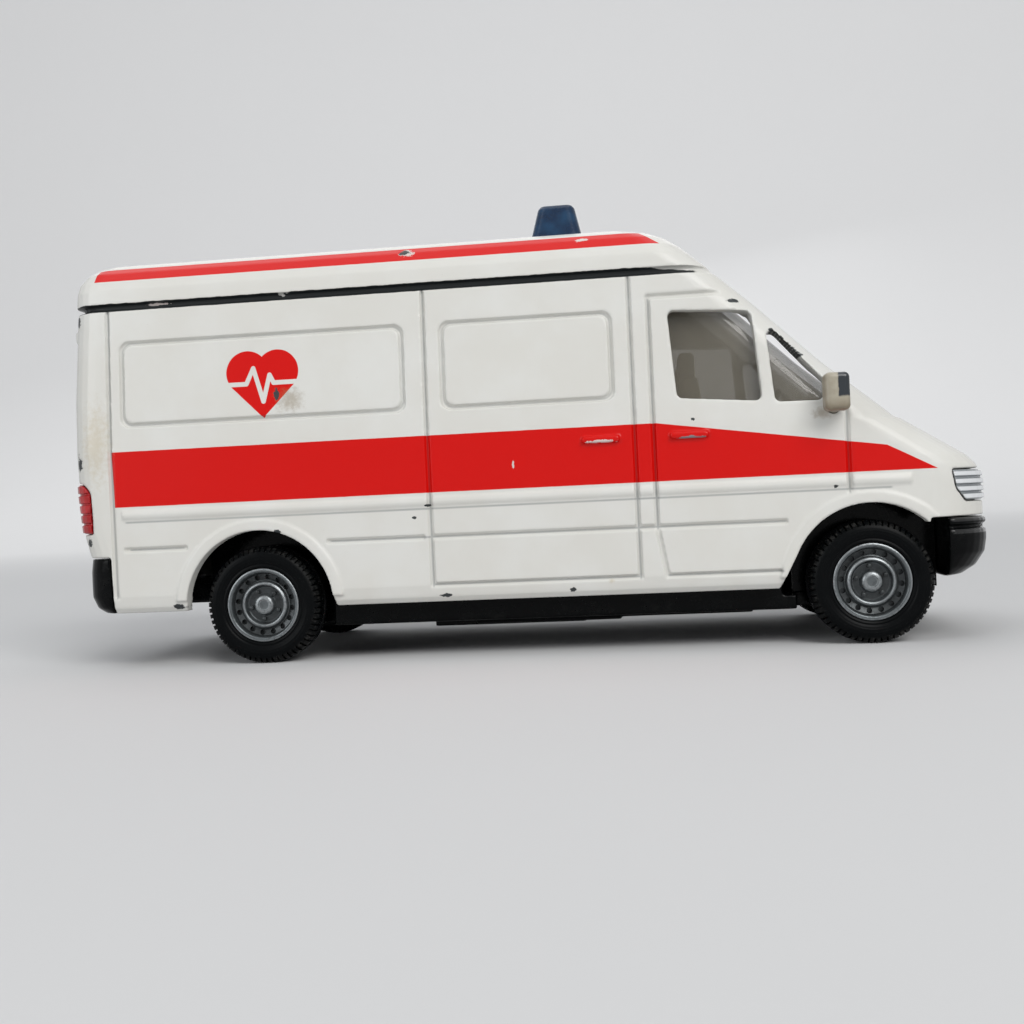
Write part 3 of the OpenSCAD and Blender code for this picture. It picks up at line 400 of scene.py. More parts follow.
@dataclass(frozen=True)
class Metal:
    """Metal or silvered plastic with fine scratches.

    Args:
        name: Name of the material.
        colour: Colour in linear light.
        rough: Roughness.
        metallic: Share of metal.
        tarnish: Colour in the dull clouds.
        depth: Depth of the scratches in millimetres.
    """

    name: str
    colour: Colour
    rough: float = 0.3
    metallic: float = 1.0
    tarnish: Colour = (0.25, 0.25, 0.25)
    depth: float = 0.006

    def make(self) -> bpy.types.Material:
        """Build the material."""
        s = Shade(self.name)
        clouds = s.noise(1.1, 4)
        speck = s.noise(0.22, 3, shift=5.0)
        dull = (clouds * 0.6 + speck * 0.4).ramp(0.42, 0.68)
        s.set(Base_Color=s.mix(dull * 0.55, self.colour, self.tarnish))
        s.set(Roughness=self.rough + dull * 0.2, Metallic=self.metallic)
        s.bump(speck, self.depth, 0.4)
        return s.material


@dataclass(frozen=True)
class RibbedLens:
    """Silvered headlight: level bars painted bright over a grey reflector, as painted highlights along its ribs.

    Args:
        low: Lower edge of the lamp in millimetres.
        high: Upper edge of the lamp in millimetres.
        ribs: Number of bars.
        middle: Place of a bar's middle within its pitch, as a share.
    """

    low: float
    high: float
    ribs: int = 4
    name: str = "silvered_lamp"
    bright: Colour = (0.8, 0.82, 0.84)
    grey: Colour = (0.3, 0.32, 0.335)
    middle: float = 0.475

    def make(self) -> bpy.types.Material:
        """Build the material."""
        s = Shade(self.name)
        speck = s.noise(0.3, 3, shift=5.0)
        turn = (s.z - self.low) * (self.ribs / (self.high - self.low)) - (self.middle - 0.25)
        # The bright bars are painted highlights on the ribs.
        bar = (turn * math.tau).sine().ramp(-0.7, 0.4)
        s.set(Base_Color=s.mix(bar * (0.85 + speck * 0.15), self.grey, self.bright))
        s.set(Roughness=0.14 + speck * 0.12, Metallic=0.3)
        s.bump(bar, 0.02, 0.5)
        return s.material


@dataclass(frozen=True)
class Rubber:
    """Black tyre with moulded rings on its wall and dust in the tread; radii in millimetres."""

    name: str = "tyre_black"
    colour: Colour = (0.0022, 0.0027, 0.0031)
    dust: Colour = (0.16, 0.155, 0.145)
    rings: Point = (3.55, 4.4)
    rings_per_mm: float = 24.0
    tread_start: Point = (4.5, 4.9)
    tread_end: Point = (5.0, 5.12)

    def make(self) -> bpy.types.Material:
        """Build the material."""
        s = Shade(self.name)
        radius = s.from_axle()
        clouds = s.noise(1.3, 4)
        speck = s.noise(0.25, 3, shift=4.0)
        in_tread = radius.ramp(*self.tread_start) * (1 - radius.ramp(*self.tread_end))
        dusty = (clouds * 0.5 + speck * 0.5).ramp(0.45, 0.7) * (0.006 + in_tread * 0.2)
        s.set(Base_Color=s.mix(dusty, self.colour, self.dust))
        s.set(Roughness=0.24 + speck * 0.16 + dusty * 0.8, Specular_IOR_Level=0.06)
        rings = (radius * self.rings_per_mm).sine() * radius.between(*self.rings, 0.2)
        s.bump(rings * 0.5 + speck * 0.6, 0.012, 0.7)
        return s.material


@dataclass(frozen=True)
class DiscFinish:
    """Silver-grey wheel disc with its hollows painted dark as shade and dirt, and its crests painted pale as
    highlights and rubbed wear; radii in millimetres.
    """

    name: str = "hub_grey"
    grey: Colour = (0.12, 0.133, 0.139)
    hollow_shade_and_dirt: Colour = (0.02, 0.022, 0.023)
    crest_highlight_and_rub: Colour = (0.3, 0.32, 0.33)
    hollows: tuple[Point, ...] = ((0.98, 1.52), (2.12, 2.78))
    crests: tuple[Point, ...] = ((0.4, 0.84), (1.8, 2.02), (3.08, 3.22))

    def make(self) -> bpy.types.Material:
        """Build the material."""
        s = Shade(self.name)
        clouds = s.noise(1.1, 4)
        speck = s.noise(0.22, 3, shift=5.0)
        radius = s.from_axle() + (clouds - 0.5) * 0.12
        base = s.mix((clouds * speck).ramp(0.2, 0.4) * 0.5, self.grey, self.hollow_shade_and_dirt)
        # Hollows: painted shade, with dirt.
        for low, high in self.hollows:
            base = s.mix(radius.between(low, high, 0.16) * (0.55 + 0.4 * clouds), base, self.hollow_shade_and_dirt)
        # Crests: pale patches, painted highlights and rubbed wear.
        for low, high in self.crests:
            base = s.mix(radius.between(low, high, 0.12) * speck.ramp(0.25, 0.55) * 0.8, base, self.crest_highlight_and_rub)
        s.set(Base_Color=base, Roughness=0.26 + speck * 0.16, Metallic=0.7)
        s.bump(speck, 0.006, 0.4)
        return s.material


@dataclass(frozen=True)
class Clear:
    """Clear window plastic with a half-opaque warm cast that darkens the cab behind it as painted shade, a cloudy
    haze and small bright scratches.
    """

    name: str = "clear_window"
    # Warm brown at half opacity: painted shade over the cab seen through the glass.
    colour: Colour = (0.165, 0.15, 0.118)
    scratch: Colour = (0.75, 0.74, 0.7)
    alpha: float = 0.5

    def make(self) -> bpy.types.Material:
        """Build the material."""
        s = Shade(self.name)
        clouds = s.noise(4.5, 3)
        speck = s.noise(0.4, 4, 0.65, shift=9.0).ramp(0.66, 0.74) * s.noise(2.6, 2, shift=6.0).ramp(0.56, 0.66)
        s.set(Base_Color=s.mix(speck, self.colour, self.scratch))
        s.set(Alpha=self.alpha + (clouds - 0.5) * 0.16 + speck * 0.35, Roughness=0.05 + clouds * 0.05)
        s.set(Specular_IOR_Level=0.7)
        return s.material


@dataclass(frozen=True)
class Tinted:
    """Translucent coloured plastic, its deep colour broken by paler clouds.

    Args:
        name: Name of the material.
        deep: Colour of the body of the plastic.
        light: Colour of its paler clouds.
        rough: Roughness.
        through: Share of light that passes.
    """

    name: str
    deep: Colour
    light: Colour
    rough: float = 0.14
    through: float = 0.3

    def make(self) -> bpy.types.Material:
        """Build the material."""
        s = Shade(self.name)
        clouds = s.noise(1.7, 3)
        speck = s.noise(0.3, 2, shift=2.0)
        s.set(Base_Color=s.mix(clouds.ramp(0.35, 0.75), self.deep, self.light))
        s.set(Roughness=self.rough + speck * 0.16, Transmission_Weight=self.through, IOR=1.4)
        s.bump(speck, 0.006, 0.5)
        return s.material


@dataclass(frozen=True)
class MirrorFinish:
    """Door mirror: cream housing with a dark front cap and dirt at its foot."""

    name: str = "mirror_housing"
    cream: Colour = (0.4, 0.37, 0.29)
    shade: Colour = (0.3, 0.27, 0.21)
    dirt: Colour = (0.12, 0.085, 0.045)
    cap: Colour = (0.022, 0.027, 0.033)
    cap_x: float = 26.7
    cap_z: float = 20.45
    dirt_z: float = 20.5

    def make(self) -> bpy.types.Material:
        """Build the material."""
        s = Shade(self.name)
        clouds = s.noise(0.9, 4)
        wander = (clouds - 0.5) * 0.35
        front = (s.x + wander).above(self.cap_x, 0.12) * (s.z + wander).above(self.cap_z, 0.2)
        dirt = (self.dirt_z - s.z + (clouds - 0.5) * 1.6).ramp(0.0, 1.1)
        housing = s.mix(dirt * 0.6, s.mix(clouds.ramp(0.3, 0.8), self.shade, self.cream), self.dirt)
        s.set(Base_Color=s.mix(front, housing, self.cap))
        s.set(Roughness=0.34 - front * 0.18 + clouds * 0.1)
        s.bump(s.noise(0.2, 2), 0.006, 0.5)
        return s.material


@dataclass(frozen=True)
class Enamel:
    """White gloss enamel with its printed bands, gutter line, heart print and wear, and grey painted into its
    panel lines as shade in the grooves and as grime.

    Places are X and Z in millimetres; the values that end in _y are the distances from the middle plane
    past which a print or a line shows.
    """

    name: str = "white_enamel"
    white: Colour = (0.67, 0.672, 0.645)
    cream: Colour = (0.64, 0.634, 0.597)
    red: Colour = (0.6, 0.0045, 0.003)
    groove_shaded_red: Colour = (0.18, 0.002, 0.002)
    gutter: Colour = (0.018, 0.021, 0.022)
    shade_and_grime_grey: Colour = (0.2, 0.215, 0.22)
    dust: Colour = (0.3, 0.285, 0.25)
    shine: float = 0.21
    print_y: float = 13.2
    heart_y: float = 12.9
    line_y: float = 12.4
    roof_y: float = 11.2
    gutter_y: float = 11.0
    band_low: float = 14.3
    band_high: float = 19.2
    band_rear: float = -35.8
    band_bend: Point = (11.95, 19.2)
    band_knee: Point = (30.75, 16.42)
    band_tip: Point = (34.78, 14.27)
    roof_low: float = 34.5
    roof_high: float = 35.75
    roof_rear: float = -37.2
    roof_end: tuple[Point, Point] = ((11.45, 35.65), (12.75, 34.71))
    heart: Point = (-21.85, 24.2)
    heart_side: float = 3.8
    pulse_half: float = 0.2
    pulse: tuple[Point, ...] = (
        (-3.6, 0.35), (-1.45, 0.35), (-0.8, 1.7), (0.05, -1.25), (0.65, 1.05), (1.0, 0.35), (3.6, 0.35),
    )
    gutter_low: float = 31.74
    gutter_high: float = 32.44
    gutter_ends: Point = (-39.4, 15.9)
    gutter_taper: float = 5.0
    line_fade: Point = (0.02, 0.14)
    uprights: tuple[tuple[float, float, float], ...] = (
        (-35.95, 6.2, 31.8), (-7.5, 6.2, 31.8), (10.2, 6.2, 31.8), (11.8, 10.3, 29.8), (27.65, 12.6, 19.4),
    )
    levels: tuple[tuple[float, float, float], ...] = (
        (10.5, -34.6, -29.6), (10.5, -16.4, 22.4), (6.4, -7.5, 10.2), (6.4, 12.5, 22.0), (12.93, -34.8, 31.0),
    )
    blank_windows: tuple[Point, ...] = ((-34.9, -9.25), (-6.15, 8.7))
    blank_middle: float = 25.15
    blank_half: float = 3.65
    blank_round: float = 0.9
    tints: tuple[tuple[Mark, Colour], ...] = (
        (Mark.STAIN, (0.5, 0.43, 0.3)),
        (Mark.DIRT, (0.22, 0.155, 0.075)),
        (Mark.PALE, (0.62, 0.55, 0.52)),
        (Mark.RUBBED, (0.22, 0.22, 0.235)),
        (Mark.BARE, (0.055, 0.06, 0.062)),
    )

    def make(self, spots: tuple[Spot, ...]) -> bpy.types.Material:
        """Build the material.

        Args:
            spots: Spots of wear on the enamel.

        Returns:
            The material.
        """
        s = Shade(self.name)
        clouds = s.noise(7.0, 4)
        speck = s.noise(0.55, 3, shift=11.0)
        wobble = (s.noise(1.1, 3, shift=3.0) - 0.5) * 0.1
        side = abs(s.y)
        shade_and_grime_lines = self._lines(s, side)
        base = s.mix(clouds.ramp(0.35, 0.75), self.cream, self.white)
        # Panel lines: grey painted as shade in the grooves, and as grime.
        base = s.mix(shade_and_grime_lines * (0.4 + 0.3 * clouds), base, self.shade_and_grime_grey)
        printed = (self._band(s, side, wobble) + self._roof_band(s, side, wobble)).least(1.0)
        heart = self._heart(s, side, wobble)
        worn = speck.ramp(0.77, 0.8) * 0.5
        red = (printed + heart).least(1.0) * (1 - worn)
        # In the panel lines the red is darkened as painted shade in the grooves.
        base = s.mix(red, base, s.mix(shade_and_grime_lines * 0.45, self.red, self.groove_shaded_red))
        gutter = self._gutter(s, side)
        base = s.mix(gutter, base, self.gutter)
        dust = s.noise(0.3, 2, shift=21.0).ramp(0.76, 0.84) * 0.35
        base = s.mix(dust * (1 - red), base, self.dust)
        masks = {mark: self._spots(s, spots, mark) for mark, _ in self.tints}
        for mark, tint in self.tints:
            if masks[mark] is not None:
                base = s.mix(masks[mark], base, tint)
        bare = masks[Mark.BARE]
        s.set(Base_Color=base)
        s.set(Roughness=0.2 + clouds * 0.1 + bare * 0.2 + gutter * 0.12 + shade_and_grime_lines * 0.15)
        s.set(Metallic=bare * 0.6, Specular_IOR_Level=self.shine)
        peel = s.noise(0.9, 2, shift=1.0) * 0.5 + speck * 0.12 - bare * 2.2
        s.bump(peel, 0.014, 0.55)
        return s.material

    def _band(self, s: Shade, side: Field, wobble: Field) -> Field:
        """Mask of the band along the side, which tapers to a tip on the wing."""
        (x0, z0), (x1, z1), (x2, z2) = self.band_bend, self.band_knee, self.band_tip
        first = z0 - (s.x - x0) * ((z0 - z1) / (x1 - x0))
        second = z2 - (s.x - x2) * ((z1 - z2) / (x2 - x1))
        top = first.least(second).least(self.band_high) + wobble * 0.4
        tall = (top - s.z).above(0.0) * (s.z + wobble * 0.4).above(self.band_low)
        return tall * (s.x - (s.z - self.band_low) * -0.03).above(self.band_rear) * side.above(self.print_y)

    def _roof_band(self, s: Shade, side: Field, wobble: Field) -> Field:
        """Mask of the band along the rounded edge of the roof."""
        (x0, z0), (x1, z1) = self.roof_end
        tall = (s.z + wobble * 0.3).between(self.roof_low, self.roof_high)
        end = (x1 - (s.z - z1) * ((x1 - x0) / (z0 - z1)) - s.x).above(0.0)
        return tall * end * s.x.above(self.roof_rear) * side.above(self.roof_y)

    def _heart(self, s: Shade, side: Field, wobble: Field) -> Field:
        """Mask of a heart with a pulse line through it."""
        x, z = self.heart
        half = self.heart_side / 2
        lobe = half / math.sqrt(2)
        u, v = abs(s.x - x), s.z - z
        across, over = u - lobe, v - lobe
        circle = (across * across + over * over).root() - half
        square = (u + abs(v)) / math.sqrt(2) - half
        inside = 1 - (circle.least(square) + wobble * 0.4).above(0.0, 0.05)
        line = None
        for start, end in zip(self.pulse, self.pulse[1:]):
            reach = self._reach(s, (x + start[0], z + start[1]), (x + end[0], z + end[1]))
            line = reach if line is None else line.least(reach)
        return inside * line.above(self.pulse_half, 0.05) * side.above(self.heart_y)

    @staticmethod
    def _reach(s: Shade, start: Point, end: Point) -> Field:
        """Distance to a line between two points of the side, in millimetres."""
        dx, dz = end[0] - start[0], end[1] - start[1]
        px, pz = s.x - start[0], s.z - start[1]
        share = ((px * dx + pz * dz) / (dx * dx + dz * dz)).most(0.0).least(1.0)
        ox, oz = px - share * dx, pz - share * dz
        return (ox * ox + oz * oz).root()

    def _gutter(self, s: Shade, side: Field) -> Field:
        """Mask of the dark gutter line, ragged along its upper edge, which tapers out over the cab."""
        rag = s.noise(1.2, 4, shift=17.0)
        tear = s.noise(5.0, 2, shift=29.0).ramp(0.55, 0.7) * s.noise(0.7, 2, shift=31.0).ramp(0.4, 0.65)
        rear, front = self.gutter_ends
        top = self.gutter_high + (rag - 0.5) * 0.24 - tear * 0.4 - s.x.ramp(front - self.gutter_taper, front) * 0.4
        tall = (top - s.z).above(0.0, 0.05) * (s.z + (rag - 0.5) * 0.1).above(self.gutter_low, 0.05)
        return tall * (1 - s.x.above(front, 0.3)) * s.x.above(rear, 0.2) * side.above(self.gutter_y)

    def _lines(self, s: Shade, side: Field) -> Field:
        """Mask of the panel lines of the sides and the rings round the blank windows, where grey is painted as
        shade in the grooves and as grime.
        """
        total = None
        for near, far, runs in ((s.x, s.z, self.uprights), (s.z, s.x, self.levels)):
            for place, low, high in runs:
                line = (1 - abs(near - place).ramp(*self.line_fade)) * far.between(low, high, 0.3)
                total = line if total is None else total.most(line)
        corner = self.blank_round + 0.2
        for x0, x1 in self.blank_windows:
            px = (abs(s.x - (x0 + x1) / 2) - ((x1 - x0) / 2 - corner)).most(0.0)
            pz = (abs(s.z - self.blank_middle) - (self.blank_half - self.blank_round)).most(0.0)
            ring = abs((px * px + pz * pz).root() - self.blank_round)
            total = total.most((1 - ring.ramp(*self.line_fade)) * 0.5)
        return total * side.above(self.line_y)

    @staticmethod
    def _spots(s: Shade, spots: tuple[Spot, ...], mark: Mark) -> Field | None:
        """Mask of all spots of one mark, or None where there are none."""
        total = None
        rag = s.noise(0.42, 4, 0.7, shift=13.0)
        for spot in spots:
            if spot.mark is not mark:
                continue
            u = (s.x - spot.x) / spot.rx
            v = (s.z - spot.z) / spot.rz
            out = s.y * spot.side.value
            reach = (u * u + v * v).root() + (rag - 0.5) * 2.2
            faint = mark in (Mark.STAIN, Mark.DIRT)
            mask = (1 - reach.above(0.7, 1.3 if faint else 0.16)) * out.between(spot.low, spot.high, 0.1)
            mask = mask * 0.5 if faint else mask
            total = mask if total is None else total.most(mask)
        return total


# Modelling


class Bench:
    """Modelling steps that the pieces share."""

    @staticmethod
    def clear() -> None:
        """Leave edit mode and deselect everything."""
        if bpy.context.object is not None and bpy.context.object.mode != "OBJECT":
            bpy.ops.object.mode_set(mode="OBJECT")
        bpy.ops.object.select_all(action="DESELECT")

    @classmethod
    def pick(cls, piece: bpy.types.Object) -> None:
        """Make one object the selected and active one."""
        cls.clear()
        piece.select_set(True)
        bpy.context.view_layer.objects.active = piece

    @classmethod
    def apply(cls, piece: bpy.types.Object, kind: str, **settings: Any) -> None:
        """Add a modifier and apply it.

        Args:
            piece: Object to change.
            kind: Type of the modifier.
            settings: Its properties.
        """
        cls.pick(piece)
        made = piece.modifiers.new(kind.lower(), kind)
        for key, value in settings.items():
            setattr(made, key, value)
        bpy.ops.object.modifier_apply(modifier=made.name)

    @classmethod
    def copy_of(cls, node: bpy.types.Object, name: str) -> bpy.types.Object:
        """Copy a CAD node's mesh into a new object, in millimetres, with its points merged."""
        mesh = node.data.copy()
        mesh.name = name
        mesh.materials.clear()
        piece = bpy.data.objects.new(name, mesh)
        bpy.context.scene.collection.objects.link(piece)
        mesh.transform(TO_MM)
        cls.pick(piece)
        bpy.ops.object.mode_set(mode="EDIT")
        bpy.ops.mesh.select_all(action="SELECT")
        bpy.ops.mesh.remove_doubles(threshold=MERGE_COPY)
        bpy.ops.object.mode_set(mode="OBJECT")
        bpy.ops.mesh.customdata_custom_splitnormals_clear()
        return piece

    @classmethod
    def soften(cls, piece: bpy.types.Object, voxel: float, passes: int, faces: int) -> None:
        """Round all edges as thick paint or a worn mould does.

        Args:
            piece: Object in millimetres.
            voxel: Grain of the new skin in millimetres.
            passes: Smoothing passes.
            faces: Number of triangles to keep at most.
        """
        cls.apply(piece, "REMESH", mode="VOXEL", voxel_size=voxel)
        cls.apply(piece, "SMOOTH", factor=0.5, iterations=passes)
        count = sum(len(f.vertices) - 2 for f in piece.data.polygons)
        if count > faces:
            cls.apply(piece, "DECIMATE", ratio=faces / count, use_collapse_triangulate=True)
        cls.pick(piece)
        bpy.ops.object.shade_smooth()
        cls.apply(piece, "WEIGHTED_NORMAL", weight=60)

    @classmethod
    def smooth(cls, piece: bpy.types.Object, degrees: float = 32.0) -> None:
        """Shade a piece smooth across edges flatter than an angle."""
        cls.pick(piece)
        bpy.ops.object.shade_smooth_by_angle(angle=math.radians(degrees))

    @classmethod
    def lathe(cls, name: str, profile: list[Point], steps: int) -> bpy.types.Object:
        """Turn a closed profile about the Y axis.

        Args:
            name: Name of the new object.
            profile: Points of radius and offset along Y, in millimetres.
            steps: Steps of the turn.

        Returns:
            The turned piece, closed, with its faces outwards.
        """
        cls.clear()
        bpy.ops.mesh.primitive_circle_add(vertices=len(profile), radius=1.0, fill_type="NOTHING")
        piece = bpy.context.object
        piece.name = piece.data.name = name
        for vertex, (radius, offset) in zip(piece.data.vertices, profile):
            vertex.co = (radius, offset, 0.0)
        bpy.ops.object.mode_set(mode="EDIT")
        bpy.ops.mesh.select_all(action="SELECT")
        bpy.ops.mesh.spin(steps=steps, angle=math.tau, center=(0, 0, 0), axis=(0, 1, 0))
        bpy.ops.mesh.select_all(action="SELECT")
        bpy.ops.mesh.remove_doubles(threshold=MERGE_TURNED)
        bpy.ops.mesh.select_all(action="SELECT")
        bpy.ops.mesh.normals_make_consistent(inside=False)
        bpy.ops.object.mode_set(mode="OBJECT")
        return piece

    @staticmethod
    def faces_where(piece: bpy.types.Object, test: Callable[[Vector], bool]) -> None:
        """Select the faces whose centre passes a test, and nothing else.

        Args:
            piece: Object in object mode.
            test: Test on the centre.
        """
        mesh = piece.data
        for part in (*mesh.vertices, *mesh.edges):
            part.select = False
        for face in mesh.polygons:
            face.select = test(face.center)

    @classmethod
    def join(cls, main: bpy.types.Object, parts: list[bpy.types.Object]) -> None:
        """Join parts to a main piece."""
        cls.pick(main)
        for part in parts:
            part.select_set(True)
        bpy.ops.object.join()


def settle(piece: bpy.types.Object, body: str, slot: str, material: bpy.types.Material, *nodes: str) -> None:
    """Bring a finished piece into metres, dress it and set it on its body.

    Args:
        piece: Piece in millimetres.
        body: Body that it rides on.
        slot: Material slot of the record; not used.
        material: Its finish.
        nodes: CAD nodes that it stands for.
    """
    piece.data.transform(TO_METRES)
    piece.data.materials.clear()
    piece.data.materials.append(material)
    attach(piece, body)
    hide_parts(*nodes)
    LOG.info("%s: %d faces", piece.name, len(piece.data.polygons))


@dataclass
class Casting:
    """The painted die-cast shell."""

    node: str = "body_shell"
    voxel: float = 0.12
    passes: int = 4
    faces: int = 190_000
    quick_voxel: float = 0.3
    spots: tuple[Spot, ...] = (
        Spot(-8.8, 35.25, 0.9, 0.45, Mark.PALE),
        Spot(-9.0, 35.3, 0.6, 0.3, Mark.BARE),
        Spot(6.5, 35.3, 0.8, 0.2, Mark.PALE),
        Spot(-31.3, 32.2, 1.3, 0.14, Mark.PALE),
        Spot(14.95, 17.8, 1.5, 0.25, Mark.RUBBED, 14.5),
        Spot(7.4, 17.9, 1.5, 0.2, Mark.PALE, 14.5),
        Spot(15.1, 19.37, 0.22, 0.2, Mark.BARE),
        Spot(19.0, 29.15, 0.8, 0.22, Mark.BARE),
        *chips((21.95, 26.55), (24.15, 24.3), 12, 0.34, 0.17),
        Spot(25.7, 19.3, 0.9, 0.5, Mark.DIRT),
        Spot(26.5, 13.2, 0.26, 0.2, Mark.BARE),
        Spot(-37.3, 20.0, 1.3, 3.6, Mark.STAIN),
        Spot(-39.1, 31.1, 0.5, 0.7, Mark.BARE),
        Spot(-39.1, 18.3, 0.45, 1.0, Mark.BARE),
        Spot(-38.5, 11.2, 0.4, 0.5, Mark.BARE),
        Spot(-30.3, 5.35, 0.7, 0.3, Mark.BARE),
        Spot(4.4, 5.5, 0.4, 0.25, Mark.BARE),
        Spot(-6.5, 5.45, 0.7, 0.22, Mark.BARE),
        Spot(7.75, 6.1, 0.25, 0.22, Mark.STAIN),
        Spot(-21.0, 11.55, 0.55, 0.24, Mark.BARE),
        Spot(-8.9, 12.2, 0.26, 0.2, Mark.BARE),
        Spot(-7.7, 13.2, 0.3, 0.16, Mark.BARE),
        Spot(-19.5, 23.0, 1.3, 1.1, Mark.DIRT),
        Spot(-20.6, 23.5, 0.3, 0.6, Mark.BARE),
        Spot(-0.15, 16.3, 0.12, 0.45, Mark.PALE),
        Spot(20.0, 5.2, 0.7, 0.3, Mark.BARE, side=Side.LEFT),
        Spot(-15.0, 5.25, 0.9, 0.3, Mark.BARE, side=Side.LEFT),
        Spot(-6.0, 35.2, 0.7, 0.35, Mark.BARE, side=Side.LEFT),
        Spot(-38.8, 16.0, 0.5, 1.3, Mark.BARE, side=Side.LEFT),
        Spot(5.0, 17.0, 0.9, 0.2, Mark.PALE, side=Side.LEFT),
        Spot(-25.0, 22.0, 1.5, 0.8, Mark.DIRT, side=Side.LEFT),
    )

    def build(self, nodes: dict[str, bpy.types.Object]) -> None:
        """Soften the shell's edges and paint it.

        Args:
            nodes: CAD nodes by name.
        """
        piece = Bench.copy_of(nodes[self.node], "painted_body_shell")
        voxel = self.voxel
        Bench.soften(piece, voxel, self.passes, self.faces)
        settle(piece, "van", "white_enamel", Enamel().make(self.spots), self.node)


@dataclass(frozen=True)
class Moulding:
    """A moulded piece whose edges are softened.

    Args:
        node: CAD node that it stands for.
        slot: Material slot of the record.
        voxel: Grain of its skin in millimetres, or 0 to keep the CAD surface.
        passes: Smoothing passes.
        faces: Triangles kept at most.
    """

    node: str
    slot: str
    voxel: float
    passes: int = 4
    faces: int = 40_000

    def build(self, nodes: dict[str, bpy.types.Object], material: bpy.types.Material) -> None:
        """Soften the piece and dress it.

        Args:
            nodes: CAD nodes by name.
            material: Its finish.
        """
        piece = Bench.copy_of(nodes[self.node], "moulded_" + self.node)
        if not self.voxel:
            Bench.smooth(piece)
        else:
            Bench.soften(piece, self.voxel, self.passes, self.faces)
        settle(piece, "van", self.slot, material, self.node)


